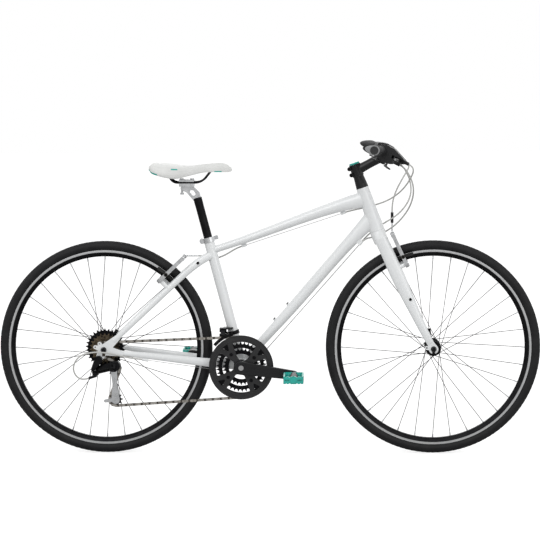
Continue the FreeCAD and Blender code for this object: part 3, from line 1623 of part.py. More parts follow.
def bar_frame():
    # Origin at the right bar end, x ahead and down, y outward along the bar, z below.
    end = V(bar_end[0], -bar_end[1], bar_end[2])
    out = unit(end - V(bar_shoulder[0], -bar_shoulder[1], bar_shoulder[2]))
    ahead = polar(0, 0, 1.0, unit_pitch)
    ahead = unit(ahead - out * ahead.dot(out))
    return frame_of(end, ahead, ahead.cross(out))


def grip_section(y, radius, reach, half_tip):
    # A round front that runs out into a thin wing on the rear side.
    turn = math.radians(full_turn / 2.0 - grip_wing_lift - unit_pitch)
    back = V(math.cos(turn), 0, -math.sin(turn))
    side = V(0, 1, 0).cross(back)
    shoulder = radius * grip_shoulder_share
    half = [(-radius, 0.0), (-shoulder, shoulder), (0.0, radius), (reach * grip_shoulder_share, half_tip)]
    outline = half + [(reach, 0.0)] + [(u, -v) for u, v in reversed(half[1:])]
    curve = Part.BSplineCurve()
    curve.interpolate(Points=[V(0, y, 0) + back * u + side * v for u, v in outline], PeriodicFlag=True)
    return Part.Wire([curve.toShape()])


def grip():
    # Sections run inward along the bar; the wing grows on the rear side towards the bar end.
    wires = []
    for length_share, radius, reach, half_tip in grip_stations:
        span = grip_length - grip_ring_length - slip_fit
        wires.append(grip_section(-grip_ring_length - slip_fit - span * length_share, radius, reach,
                                  half_tip))
    bore = rod(V(0, -grip_length - overrun, 0), V(0, overrun, 0), bar_radius + slip_fit)
    solid = Part.makeLoft(wires, True, False).cut(bore)
    turn = math.radians(full_turn / 2.0 - grip_wing_lift - unit_pitch)
    back = V(math.cos(turn), 0, -math.sin(turn))
    ring = bar_plate((0, 0), (grip_ring_tail, 0), grip_ring_radius, grip_ring_tail_radius, 0,
                     grip_ring_length)
    ring = placed(ring, frame_of(V(0, 0, 0), back, V(0, -1, 0))).cut(bore)
    return placed(Part.makeCompound([solid, ring]), bar_frame())


def pair(shape):
    return Part.makeCompound([shape, mirrored(shape)])


def unit_body():
    points = [V(x, unit_inner, z) for x, z in unit_outline]
    body = Part.Face(rounded_wire(points, unit_round)).extrude(V(0, unit_outer - unit_inner, 0))
    band = rod(V(0, unit_outer, 0), V(0, unit_band_outer, 0), unit_band_radius)
    x, y = lever_pivot
    slot = block((unit_slot_start, unit_outline[5][0] + overrun), (lever_ear_inner, unit_outer + overrun),
                 (-unit_slot_half, unit_slot_half))
    body = joined([body, band]).cut(slot)
    pin = rod(V(x, y, -unit_slot_half - overrun), V(x, y, unit_slot_half + overrun), lever_pin_radius)
    barrels = [rod(V(*at), V(*at) + V(barrel_length, 0, 0), barrel_radius) for at in (brake_barrel,
                                                                                      shift_barrel)]
    posts = [rod(V(shift_pivot[0], shift_pivot[1], post_start),
                 V(shift_pivot[0], shift_pivot[1], trigger_low - running_gap),
                 shift_pin_radius),
             rod(V(trigger_pivot[0], trigger_pivot[1], post_start),
                 V(trigger_pivot[0], trigger_pivot[1], trigger_high + running_gap), trigger_pin_radius)]
    bore = rod(V(0, unit_inner - overrun, 0), V(0, unit_band_outer + overrun, 0), bar_radius + slip_fit)
    return joined([body, pin] + barrels + posts).cut(bore)


def brake_lever():
    x, y = lever_pivot
    half = unit_slot_half - running_gap
    boss = rod(V(x, y, -half), V(x, y, half), lever_hub_radius)
    blade = oval_tube([V(*p) for p in lever_blade], lever_blade_halves, V(0, 0, 1))
    hole = rod(V(x, y, -half - overrun), V(x, y, half + overrun), lever_pin_radius + pivot_fit)
    return joined([boss, blade]).cut(hole)


def shift_lever():
    plate = bar_plate(shift_pivot, shift_tip, shift_hub_radius, shift_tip_radius, shift_plate_low,
                      shift_plate_high)
    hole = rod(V(shift_pivot[0], shift_pivot[1], 0), V(shift_pivot[0], shift_pivot[1], trigger_high),
               shift_pin_radius + pivot_fit)
    return plate.cut(hole)


def shift_trigger():
    plate = bar_plate(trigger_pivot, trigger_tip, trigger_hub_radius, trigger_tip_radius, trigger_low,
                      trigger_high)
    hole = rod(V(trigger_pivot[0], trigger_pivot[1], 0),
               V(trigger_pivot[0], trigger_pivot[1], trigger_high + overrun),
               trigger_pin_radius + pivot_fit)
    return plate.cut(hole)


# Brakes
def brake_arm(x, angle, side):
    # Local directions: x outward along the wheel, y sideways away from the rim, z away from the stay.
    origin, radial, around = brake_frame(x, angle, side)
    frame = frame_of(origin, radial, around)
    outward = 1.0 if frame.Rotation.multVec(V(0, 1, 0)).y * side > 0 else -1.0
    tip = (brake_arm_length, outward * brake_arm_lean)
    arm = bar_plate((0, 0), tip, brake_arm_base_half, brake_arm_tip_half, brake_arm_front + running_gap,
                    brake_arm_back)
    boss = rod(V(0, 0, brake_arm_front + running_gap), V(0, 0, brake_arm_front + brake_boss_length / 2.0),
               brake_hub_radius)
    middle = (brake_arm_front + brake_arm_back) / 2.0
    face = -outward * (brake_stud_spread - rim_half_width - pad_gap)
    centre = V(-brake_stud_circle, face, 0)
    pad = Part.makePolygon([V(pad_circle - brake_stud_circle + a * pad_half_height,
                              face + b * outward * pad_thickness, 0)
                            for a, b in ((-1, 0), (1, 0), (1, 1), (-1, 1), (-1, 0))])
    reach = math.degrees(pad_half_length / pad_circle)
    lead = math.degrees(math.asin(middle / pad_circle))
    pad = Part.Face(pad).revolve(centre, V(0, -1, 0), 2.0 * reach)
    pad.rotate(centre, V(0, -1, 0), lead - reach)
    post = rod(V(pad_rise, face + outward * pad_thickness, middle),
               V(pad_rise, outward * brake_hub_radius, middle),
               pad_post_radius)
    washers = [rod(V(pad_rise, outward * a, middle), V(pad_rise, outward * b, middle), pad_washer_radius)
               for a, b in ((brake_hub_radius, brake_hub_radius + pad_bow),)]
    hole = rod(V(0, 0, 0), V(0, 0, brake_stud_reach + overrun), brake_stud_radius + pivot_fit)
    deep = outward * (brake_arm_base_half + overrun)
    slot = rod(V(pad_rise, -deep, middle), V(pad_rise, deep, middle), pad_post_radius)
    lug = rod(V(tip[0], tip[1] - brake_tip_radius * outward, middle),
              V(tip[0], tip[1] + brake_tip_radius * outward, middle),
              brake_tip_radius)
    body = joined([arm, boss, lug]).cut(hole).cut(slot)
    shoe = joined([pad, post] + washers)
    pieces = [body, shoe.cut(body)]
    start = tip[1] - outward * brake_tip_radius
    if side > 0:
        leg = rear_noodle_leg if x < 0 else front_noodle_leg
        inboard = -outward * (brake_stud_spread - noodle_inboard)
        line = [(tip[0], inboard, middle), (tip[0], start, middle)]
        wire = rod(V(tip[0], -outward * (brake_stud_spread + brake_wire_end), middle), V(*line[0]),
                   bare_radius)
        bend = hose([(tip[0], tip[1] + outward * brake_tip_radius, middle),
                     (tip[0], tip[1] + outward * noodle_reach, middle),
                     (tip[0] + leg[0], tip[1] + outward * noodle_reach, middle + leg[1])], noodle_radius)
        straight = rod(V(*line[0]), V(*line[1]), noodle_radius)
        pieces += [joined([straight, wire]), bend]
    else:
        end = start - outward * boot_length
        boot = sleeve(V(tip[0], start, middle), V(tip[0], end, middle), boot_radius, boot_bore)
        pieces.append(boot)
    return placed(Part.makeCompound(pieces), frame)


# Rear derailleur
def rear_link_frame():
    path = V(0, rear_shift_travel, -rear_shift_drop)
    across = unit(path)
    turn_axis = V(1, 0, 0).cross(across)
    chord = path.Length
    lean = math.asin(chord / 2.0 / rear_link_length)
    frame = frame_of(V(*rear_link_pivot), V(1, 0, 0), turn_axis)
    link = V(rear_link_length * math.cos(lean), -chord / 2.0, 0)
    return frame, link, lean


def link_bar(start, link, half):
    bar = bar_plate((start.x, start.y), (start.x + link.x, start.y + link.y), link_radius, link_radius,
                    -half, half)
    holes = [rod(V(p.x, p.y, -half - overrun), V(p.x, p.y, half + overrun), link_pin_radius + pivot_fit)
             for p in (start, start + link)]
    return bar.cut(Part.makeCompound(holes))


def lugs(start, offset, half, radius, back):
    # Two cheeks above and below the links, their pins, and the web behind them.
    solids = []
    a, b = start, start + offset
    for s in (1.0, -1.0):
        low, high = sorted((s * (half + running_gap), s * (half + running_gap + lug_thickness)))
        solids.append(bar_plate((a.x, a.y), (b.x, b.y), radius, radius, low, high))
        solids.append(block((a.x, a.x + back), (a.y - radius, b.y + radius), (low, high)))
    reach = half + running_gap + lug_thickness
    for p in (a, b):
        solids.append(rod(V(p.x, p.y, -reach), V(p.x, p.y, reach), link_pin_radius))
    web = (a.x + back * lug_web_share, a.x + back)
    solids.append(block(web, (a.y - radius, b.y + radius), (-reach, reach)))
    return solids


def link_sweep(frame, at, link, offset, half, way):
    # The room that two links need at one end over their whole travel.
    room = []
    swing = math.asin(-link.y / link.Length)
    for share in sweep_shares:
        turn = swing * share
        reach = V(math.cos(turn), math.sin(turn), 0) * (way * link.Length / 2.0)
        for start in (at, at + offset):
            end = start + reach
            room.append(bar_plate((start.x, start.y), (end.x, end.y), link_radius + link_room,
                                  link_radius + link_room,
                                  -half - running_gap, half + running_gap))
    return placed(Part.makeCompound(room), frame)


def rear_mount():
    frame, link, lean = rear_link_frame()
    room = link_sweep(frame, V(0, 0, 0), link, V(0, rear_link_offset, 0), link_half_height, 1.0)
    offset = V(0, rear_link_offset, 0)
    cheeks = [placed(s, frame) for s in lugs(V(0, 0, 0), offset, link_half_height, lug_radius, -lug_back)]
    disc = cross_rod(hanger[0], hanger[1], -dropout_outer - running_gap, -mount_disc_outer,
                     mount_disc_radius)
    bolt = cross_rod(hanger[0], hanger[1], -dropout_inner, -dropout_outer - overrun, hanger_bore)
    pivot = V(*rear_link_pivot)
    arm = upright_plate(hanger, (pivot.x - lug_back * lug_arm_share, pivot.z), mount_disc_radius,
                        lug_radius,
                        -mount_disc_outer, -dropout_outer - running_gap)
    barrel = rod(V(*mount_barrel[0]), V(*mount_barrel[1]), mount_barrel_radius)
    stalk = rod(V(*mount_barrel[0]), V(pivot.x - lug_back * lug_arm_share, mount_barrel[0][1], pivot.z),
                mount_barrel_radius)
    return joined(cheeks + [disc, bolt, arm.cut(room), barrel, stalk.cut(room)])


def rear_links():
    frame, link, lean = rear_link_frame()
    outer = link_bar(V(0, 0, 0), link, link_half_height)
    inner = link_bar(V(0, rear_link_offset, 0), link, link_half_height)
    return placed(outer, frame), placed(inner, frame)


def rear_knuckle():
    frame, link, lean = rear_link_frame()
    cheeks = [placed(s, frame) for s in lugs(link, V(0, rear_link_offset, 0), link_half_height, lug_radius,
                                             lug_back)]
    body = cross_rod(knuckle_x, knuckle_z, -knuckle_inner, -knuckle_outer, knuckle_radius)
    body = eased(body, knuckle_edge, lambda e: e.CenterOfMass.y < -knuckle_outer + slip_fit)
    room = link_sweep(frame, link, link, V(0, rear_link_offset, 0), link_half_height, -1.0)
    hole = cross_rod(knuckle_x, knuckle_z, -knuckle_inner + overrun, -knuckle_inner - cage_pin_length,
                     cage_pin_radius + pivot_fit)
    body = body.cut(room).cut(hole)
    return joined(cheeks + [body]).cut(hole)


def pulley_centres():
    guide = V(guide_x, 0, guide_z)
    return guide, guide + polar(0, 0, cage_length, cage_turn)


def rear_cage():
    guide, foot = pulley_centres()
    waist = (guide + foot) / 2.0
    plates = []
    for y in (-cage_outer, -cage_inner - cage_plate):
        span = (y, y + cage_plate)
        plates.append(upright_plate((guide.x, guide.z), (waist.x, waist.z), cage_eye_radius,
                                    cage_waist_radius, *span))
        plates.append(upright_plate((foot.x, foot.z), (waist.x, waist.z), cage_foot_radius,
                                    cage_waist_radius, *span))
    plates.append(upright_plate((foot.x, foot.z), cage_tab, cage_waist_radius, cage_tab_radius, -cage_outer,
                                -cage_outer + cage_plate))
    plates.append(upright_plate((guide.x, guide.z), (knuckle_x, knuckle_z), cage_eye_radius,
                                cage_eye_radius,
                                -cage_outer, -cage_outer + cage_plate))
    bolts = [cross_rod(c.x, c.z, -cage_outer, -cage_inner, pulley_bolt_radius) for c in (guide, foot)]
    pin = cross_rod(knuckle_x, knuckle_z, -cage_outer, -knuckle_inner - cage_pin_length + running_gap,
                    cage_pin_radius)
    return joined(plates + bolts + [pin])


# Front derailleur
def front_link_frame():
    lean = math.asin(front_shift_travel / 2.0 / front_link_length)
    frame = frame_of(V(*front_link_pivot), V(0, 0, -1), V(1, 0, 0))
    link = V(front_link_length * math.cos(lean), -front_shift_travel / 2.0, 0)
    return frame, link, lean


def front_mount():
    frame, link, lean = front_link_frame()
    cheeks = [placed(s, frame) for s in lugs(V(0, 0, 0), V(0, front_link_offset, 0), front_link_half,
                                             front_lug_radius, -front_lug_radius - front_lug_reach)]
    low, high = on_seat(band_level - band_half_height), on_seat(band_level + band_half_height)
    band = rod(low, high, seat_tube_radius + band_wall)
    pivot = V(*front_link_pivot)
    top = pivot.z + front_lug_radius
    arm = block((pivot.x, on_seat(band_level).x), (pivot.y - front_lug_radius, 0),
                (top, top + front_arm_thickness))
    near, far = cable_spread - cable_stop_radius, cable_spread + cable_stop_radius
    lug = block((0, shell_radius + cable_drop + cable_stop_radius), (-far, -near),
                (-band_half_height, band_half_height))
    lug = placed(lug, frame_of(on_seat(band_level), seat_back, seat_up))
    solid = joined([band, arm, lug] + cheeks)
    reach = seat_up * bar_clamp_radius
    return solid.cut(rod(low - reach, high + reach, seat_tube_radius + slip_fit))


def front_links():
    frame, link, lean = front_link_frame()
    outer = link_bar(V(0, 0, 0), link, front_link_half)
    inner = link_bar(V(0, front_link_offset, 0), link, front_link_half)
    return placed(outer, frame), placed(inner, frame)


def sector(inner, outer, arc, y_from, y_to):
    angles = (arc[0], (arc[0] + arc[1]) / 2.0, arc[1])
    far = [polar(bracket_x, bracket_z, outer, angle, y_from) for angle in angles]
    near = [polar(bracket_x, bracket_z, inner, angle, y_from) for angle in reversed(angles)]
    edges = [Part.Arc(*far).toShape(), Part.makeLine(far[2], near[0]),
             Part.Arc(*near).toShape(), Part.makeLine(near[2], far[0])]
    return Part.Face(Part.Wire(edges)).extrude(V(0, y_to - y_from, 0))


def front_cage():
    frame, link, lean = front_link_frame()
    cheeks = [placed(s, frame) for s in lugs(link, V(0, front_link_offset, 0), front_link_half,
                                             front_lug_radius, front_lug_radius + front_lug_reach)]
    plates = []
    for y in (-front_cage_inner_y, -front_cage_outer_y):
        plates.append(sector(front_cage_inner_radius, front_cage_outer_radius, front_cage_arc,
                             y - front_cage_plate, y))
    top = sector(front_cage_outer_radius - front_cage_plate, front_cage_outer_radius, front_cage_top,
                 -front_cage_outer_y, -front_cage_inner_y)
    tail = sector(front_cage_inner_radius, front_cage_inner_radius + front_cage_plate, front_cage_tail,
                  -front_cage_outer_y, -front_cage_inner_y)
    foot = frame.multVec(link)
    arm = block((foot.x - front_link_half, foot.x + front_link_half),
                (-front_cage_inner_y - front_cage_plate, foot.y),
                (foot.z - front_lug_radius - front_arm_thickness, foot.z - front_lug_radius))
    return joined(plates + [top, tail, arm] + cheeks)


# Cables
def round_shell(first, last, bends, y):
    # Corner points of a cable that bends round the bottom bracket shell between two contact angles.
    step = (last - first) / bends
    radius = (shell_radius + cable_drop) / math.cos(math.radians(step / 2.0))
    return [polar(bracket_x, bracket_z, radius, first + step * (k + 0.5), y) for k in range(bends)]


def bare_cable(side, last, bends, tail):
    p, q, along, up = down_axis()
    start = down_stop(side) + along * (cable_stop_length / 2.0)
    first = math.degrees(math.atan2(-up.z, -up.x))
    return hose([start] + round_shell(first, last, bends, side * cable_spread) + tail, bare_radius)


def noodle_end(x, angle, leg):
    # Where the noodle of the left brake arm lets its housing in, and the way the housing leaves.
    origin, radial, around = brake_frame(x, angle, 1.0)
    middle = (brake_arm_front + brake_arm_back) / 2.0
    out = brake_arm_lean + noodle_reach
    end = origin + radial * (brake_arm_length + leg[0]) + around * (middle + leg[1]) + V(0, out, 0)
    return end, unit(radial * leg[0] + around * leg[1])


def frame_cables():
    lift = shell_radius + cable_drop
    behind = math.degrees(math.atan2(seat_back.z, seat_back.x))
    front_end = on_seat(band_level - band_half_height - slip_fit) + seat_back * lift + V(0, cable_spread, 0)
    stop, stop_end = V(*stay_stop), V(*stay_stop_end)
    half = (stop + stop_end) / 2.0
    gear = [bare_cable(-1.0, stay_contact, 2, [half]), bare_cable(1.0, behind, 4, [front_end])]
    along, up = top_axis()
    reach = along * (cable_stop_length / 2.0)
    rear_stop, front_stop = top_stop(top_stop_x[0]) + reach, top_stop(top_stop_x[1]) + reach
    gear.append(rod(rear_stop, front_stop, bare_radius))
    barrel = V(*mount_barrel[1])
    out = unit(barrel - V(*mount_barrel[0]))
    loop = [half + unit(stop_end - stop) * slip_fit, stop_end] + [V(*w) for w in derailleur_loop_way]
    gear.append(hose(loop + [barrel + out * noodle_lead, barrel + out * slip_fit], housing_radius))
    end, way = noodle_end(rear_x, rear_brake_angle, rear_noodle_leg)
    brake = [end + way * slip_fit, end + way * noodle_lead] + [V(*w) for w in rear_noodle_way]
    gear.append(hose(brake + [rear_stop - along * (cable_stop_length / 2.0 + housing_lead),
                              rear_stop - along * slip_fit],
                     housing_radius))
    return gear


def unit_exit(barrel, side):
    # The mouth of a barrel on the brake and shift unit, and the straight lead that leaves it.
    frame = bar_frame()
    mouth = V(barrel[0] + barrel_length + slip_fit, barrel[1], barrel[2])
    points = [frame.multVec(mouth), frame.multVec(mouth + V(housing_lead, 0, 0))]
    return [V(p.x, side * p.y, p.z) for p in points]


def into_stop(at, along):
    seat = at + along * (cable_stop_length / 2.0 + slip_fit)
    return [at + along * (cable_stop_length + housing_lead / 2.0), seat]


def steering_housings():
    along = down_axis()[2]
    end, way = noodle_end(front_x, front_brake_angle, front_noodle_leg)
    routes = [
        unit_exit(brake_barrel, 1.0) + [V(*w) for w in rear_brake_way] + into_stop(top_stop(top_stop_x[1]),
                                                                                   top_axis()[0]),
        unit_exit(shift_barrel, 1.0) + [V(*w) for w in right_shift_way] + into_stop(down_stop(-1.0), along),
        unit_exit(shift_barrel, -1.0) + [V(*w) for w in left_shift_way] + into_stop(down_stop(1.0), along),
        unit_exit(brake_barrel, -1.0) + [V(*w) for w in front_brake_way] + [end + way * noodle_lead,
                                                                            end + way * slip_fit],
    ]
    return [hose(route, housing_radius) for route in routes]


# Writing every piece
def build():
    nodes = {}
    nodes["front_tyre"], nodes["rear_tyre"] = tyre(front_x), tyre(rear_x)
    nodes["front_rim"], nodes["rear_rim"] = rim(front_x), rim(rear_x)
    nodes["front_hub"] = Part.makeCompound(
        [hub(front_x, -front_hub_half_length, front_hub_half_length, -front_flange, front_flange)]
        + spokes(front_x, (-front_flange, front_flange)))
    nodes["rear_hub"] = Part.makeCompound(
        [hub(rear_x, rear_hub_right, rear_hub_left, rear_right_flange, rear_left_flange)]
        + spokes(rear_x, (rear_right_flange, rear_left_flange)))
    front_start = front_hub_half_length + running_gap
    base, nodes["front_quick_release_lever"] = release(front_x, fork_tip_outer, front_release_angle)
    nodes["front_axle"] = joined([axle(front_x, front_half_spacing, fork_tip_outer, front_start,
                                       front_start), base])
    base, nodes["rear_quick_release_lever"] = release(rear_x, dropout_outer, rear_release_angle)
    nodes["rear_axle"] = joined([axle(rear_x, rear_half_spacing, dropout_outer, rear_hub_left + running_gap,
                                      -freehub_right + running_gap), base])
    nodes["chain"] = chain()
    nodes["cassette"] = cassette()
    guide, foot = pulley_centres()
    nodes["guide_pulley"], nodes["tension_pulley"] = pulley(guide, guide_phase), pulley(foot, foot_phase)
    nodes["chainrings"], nodes["chain_guard"] = chainrings(), chain_guard()
    nodes["right_crank"], nodes["left_crank"] = right_crank(), left_crank()
    nodes["crank_spindle"] = crank_spindle()
    nodes["right_pedal"] = right_pedal()
    nodes["left_pedal"] = turned_over(nodes["right_pedal"])
    nodes["bottom_bracket"] = bottom_bracket()
    nodes["seat_tube"], nodes["head_tube"] = seat_tube(), head_tube()
    nodes["top_tube"], nodes["down_tube"] = top_tube(), down_tube()
    nodes["chainstays"], nodes["seatstays"] = chainstays(), seatstays()
    nodes["seat_collar"], nodes["seat_collar_lever"] = seat_collar()
    nodes["seatpost"], nodes["saddle_cushion"] = seatpost(), saddle_cushion()
    nodes["saddle_frame"] = saddle_frame(nodes["saddle_cushion"])
    nodes["fork"], nodes["headset"] = fork(), headset()
    nodes["stem"], nodes["handlebar"] = stem(), handlebar()
    nodes["grips"] = pair(grip())
    frame = bar_frame()
    nodes["lever_brackets"] = pair(placed(unit_body(), frame))
    for name, shape in (("brake_lever", brake_lever()), ("shift_lever", shift_lever()),
                        ("shift_trigger", shift_trigger())):
        nodes["right_" + name] = placed(shape, frame)
        nodes["left_" + name] = mirrored(placed(shape, frame))
    for name, x, angle in (("front", front_x, front_brake_angle), ("rear", rear_x, rear_brake_angle)):
        nodes[name + "_brake_arm_right"] = brake_arm(x, angle, -1.0)
        nodes[name + "_brake_arm_left"] = brake_arm(x, angle, 1.0)
    nodes["rear_derailleur_mount"], nodes["rear_derailleur_knuckle"] = rear_mount(), rear_knuckle()
    nodes["rear_derailleur_outer_link"], nodes["rear_derailleur_inner_link"] = rear_links()
    nodes["rear_derailleur_cage"] = rear_cage()
    nodes["front_derailleur_mount"], nodes["front_derailleur_cage"] = front_mount(), front_cage()
    nodes["front_derailleur_outer_link"], nodes["front_derailleur_inner_link"] = front_links()
    nodes["frame_cables"] = Part.makeCompound(frame_cables())
    nodes["steering_housings"] = Part.makeCompound(steering_housings())
    return nodes


os.makedirs("parts", exist_ok=True)
for name, shape in build().items():
    shape.exportStep("parts/" + name + ".step")
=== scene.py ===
# White hybrid bike: finishes for every solid, and the soft, wound and small pieces around them
import math

import bmesh
import bpy
from mathutils import Matrix, Vector
from mathutils.bvhtree import BVHTree


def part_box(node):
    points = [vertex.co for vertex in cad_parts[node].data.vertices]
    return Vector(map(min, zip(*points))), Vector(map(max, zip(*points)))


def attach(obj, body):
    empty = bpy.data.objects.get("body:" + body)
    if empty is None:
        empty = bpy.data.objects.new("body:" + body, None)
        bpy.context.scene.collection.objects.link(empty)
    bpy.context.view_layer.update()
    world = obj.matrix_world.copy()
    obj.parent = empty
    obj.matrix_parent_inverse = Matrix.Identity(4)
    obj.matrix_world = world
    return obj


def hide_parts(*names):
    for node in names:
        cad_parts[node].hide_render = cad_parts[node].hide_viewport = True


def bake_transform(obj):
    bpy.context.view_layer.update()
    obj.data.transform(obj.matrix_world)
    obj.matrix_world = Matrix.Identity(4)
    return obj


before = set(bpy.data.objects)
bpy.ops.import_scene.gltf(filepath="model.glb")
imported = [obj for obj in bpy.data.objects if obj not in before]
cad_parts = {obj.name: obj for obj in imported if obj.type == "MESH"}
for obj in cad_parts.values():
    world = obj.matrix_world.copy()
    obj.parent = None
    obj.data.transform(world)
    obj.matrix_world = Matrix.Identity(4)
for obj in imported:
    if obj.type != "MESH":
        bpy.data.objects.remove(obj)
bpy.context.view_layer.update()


def mm(*p):
    return Vector(p) * 0.001


def leaning(degrees):
    # Upward along a tube that leans back, by its angle to the floor
    a = math.radians(degrees)
    return Vector((-math.cos(a), 0.0, math.sin(a)))


# Sizes in metres, in the frame of the solids
AXLE_Z = 0.343
FRONT_X = 0.525
REAR_X = -0.525
WHEELS = (("front", FRONT_X), ("rear", REAR_X))
SIDES = (("right", -1.0), ("left", 1.0))
TYRE_RADIUS = 0.343
TYRE_HALF = 0.016
RIM_RADIUS = 0.314
HOUSING = 0.0025
WIRE = 0.0009
BRACKET = Vector((-0.087, 0.0, 0.286))
SEAT_UP = leaning(75.4)
HEAD_UP = leaning(71.0)
HEAD_FOOT = Vector((0.3467, 0.0, 0.7183))

# Brakes: a stud's angle round its wheel in degrees, its distance from the axle, and the pad's post from there
FRONT_BRAKE, REAR_BRAKE = 114.998, 43.5
STUD_REACH = 0.282
POST_RISE = 0.026
POST_LEAD = 0.036
POST_END = 0.0525


# Finishes
def add(tree, kind, inputs=None, **settings):
    # A node with its settings, and its inputs set or linked
    made = tree.nodes.new(kind)
    for key, value in settings.items():
        setattr(made, key, value)
    for key, value in (inputs or {}).items():
        if isinstance(value, bpy.types.NodeSocket):
            tree.links.new(value, made.inputs[key])
        else:
            made.inputs[key].default_value = value
    return made


def calc(tree, operation, *terms):
    return add(tree, "ShaderNodeMath", dict(enumerate(terms)), operation=operation).outputs["Value"]


def finish(name, metal=0.0, coat=0.0, coat_rough=0.1, specular=0.5):
    material = bpy.data.materials.new(name)
    material.use_nodes = True
    tree = material.node_tree
    shader = tree.nodes["Principled BSDF"]
    shader.inputs["Metallic"].default_value = metal
    shader.inputs["Coat Weight"].default_value = coat
    shader.inputs["Coat Roughness"].default_value = coat_rough
    shader.inputs["Specular IOR Level"].default_value = specular
    place = tree.nodes.new("ShaderNodeTexCoord").outputs["Object"]
    return material, tree, shader, place


def grain(tree, place, scale, detail=3.0, rough=0.55):
    noise = add(tree, "ShaderNodeTexNoise", {"Vector": place, "Scale": scale, "Detail": detail,
                                             "Roughness": rough})
    return noise.outputs["Fac"]


def tint(tree, shader, fac, stops):
    ramp = add(tree, "ShaderNodeValToRGB", {"Fac": fac})
    line = ramp.color_ramp
    while len(line.elements) < len(stops):
        line.elements.new(0.5)
    for element, (at, colour) in zip(line.elements, stops):
        element.position = at
        element.color = (*colour, 1.0)
    tree.links.new(ramp.outputs["Color"], shader.inputs["Base Color"])


def gloss(tree, shader, fac, low, high):
    # Roughness from low to high over the middle of the grain's range
    span = add(tree, "ShaderNodeMapRange", {"Value": fac, "From Min": 0.3, "From Max": 0.7,
                                            "To Min": low, "To Max": high})
    tree.links.new(span.outputs["Result"], shader.inputs["Roughness"])


def relief(tree, shader, height, depth, strength):
    bump = add(tree, "ShaderNodeBump", {"Height": height, "Distance": depth, "Strength": strength})
    tree.links.new(bump.outputs["Normal"], shader.inputs["Normal"])


def paint(name, base, shade, low=0.16, high=0.3, coat=0.7, specular=0.5):
    # Sprayed colour under a clear coat, faintly clouded, with a fine ripple
    material, tree, shader, place = finish(name, coat=coat, coat_rough=0.08, specular=specular)
    tint(tree, shader, grain(tree, place, scale=14.0), ((0.3, shade), (0.62, base)))
    gloss(tree, shader, grain(tree, place, scale=60.0), low, high)
    relief(tree, shader, grain(tree, place, scale=900.0, detail=2.0), depth=0.00004, strength=0.5)
    return material


def alloy(name, base, shade, low, high):
    # Bead-blasted or drawn metal
    material, tree, shader, place = finish(name, metal=1.0)
    tint(tree, shader, grain(tree, place, scale=45.0), ((0.3, shade), (0.7, base)))
    gloss(tree, shader, grain(tree, place, scale=90.0), low, high)
    relief(tree, shader, grain(tree, place, scale=500.0, rough=0.6), depth=0.00003, strength=0.6)
    return material


def moulding(name, base, shade, low, high, scale=1400.0, depth=0.00006):
    # Moulded plastic or rubber with the mould's fine grain
    material, tree, shader, place = finish(name, specular=0.4)
    tint(tree, shader, grain(tree, place, scale=30.0), ((0.3, shade), (0.7, base)))
    gloss(tree, shader, grain(tree, place, scale=120.0), low, high)
    relief(tree, shader, grain(tree, place, scale, detail=2.0), depth, strength=0.7)
    return material


def oily(name, base, stain):
    # Worn plated steel with darker, browner patches where oil and dust settle
    material, tree, shader, place = finish(name, metal=1.0)
    patches = grain(tree, place, scale=120.0, detail=5.0, rough=0.65)
    tint(tree, shader, patches, ((0.36, stain), (0.6, base)))
    gloss(tree, shader, grain(tree, place, scale=200.0), low=0.3, high=0.5)
    relief(tree, shader, grain(tree, place, scale=1200.0, detail=2.0), depth=0.00004, strength=0.5)
    return material


def from_axle(tree, place, x):
    # Distance from a wheel's axle
    moved = add(tree, "ShaderNodeMapping", {"Vector": place, "Location": (-x, 0.0, -AXLE_Z),
                                            "Scale": (1.0, 0.0, 1.0)})
    length = add(tree, "ShaderNodeVectorMath", {0: moved.outputs["Vector"]}, operation="LENGTH")
    return length.outputs["Value"]


def fine_rings(tree, away, rate):
    # A wave of the distance from an axle, which makes rings round it
    return calc(tree, "SINE", calc(tree, "MULTIPLY", away, rate))


def brake_track(name, x):
    # Fine turned rings in a bright band, its lower edge a little worn by the pads, black below it
    black, edge, bright = (0.02, 0.02, 0.021), (0.50, 0.505, 0.51), (0.60, 0.605, 0.61)
    wander, low, high = 0.0008, 0.3050, 0.3145
    material, tree, shader, place = finish(name, metal=1.0)
    away = from_axle(tree, place, x)
    worn = calc(tree, "MULTIPLY_ADD", grain(tree, place, scale=90.0), wander, away)
    band = add(tree, "ShaderNodeMapRange", {"Value": worn, "From Min": low, "From Max": high})
    tint(tree, shader, band.outputs["Result"], ((0.22, black), (0.30, edge), (1.0, bright)))
    gloss(tree, shader, grain(tree, place, scale=150.0), low=0.3, high=0.45)
    relief(tree, shader, fine_rings(tree, away, rate=5200.0), depth=0.00003, strength=0.5)
    return material


def tyre_rubber(name, x):
    # Matt side wall with fine moulded rings, and dust lifted into the grain
    black, dusty, ring_share = (0.007, 0.007, 0.008), (0.014, 0.014, 0.015), 0.25
    material, tree, shader, place = finish(name, specular=0.25)
    fine = grain(tree, place, scale=900.0)
    rings = fine_rings(tree, from_axle(tree, place, x), rate=3600.0)
    tint(tree, shader, grain(tree, place, scale=26.0, detail=4.0), ((0.3, black), (0.72, dusty)))
    gloss(tree, shader, fine, low=0.5, high=0.68)
    relief(tree, shader, calc(tree, "MULTIPLY_ADD", rings, ring_share, fine), depth=0.0001, strength=0.6)
    return material


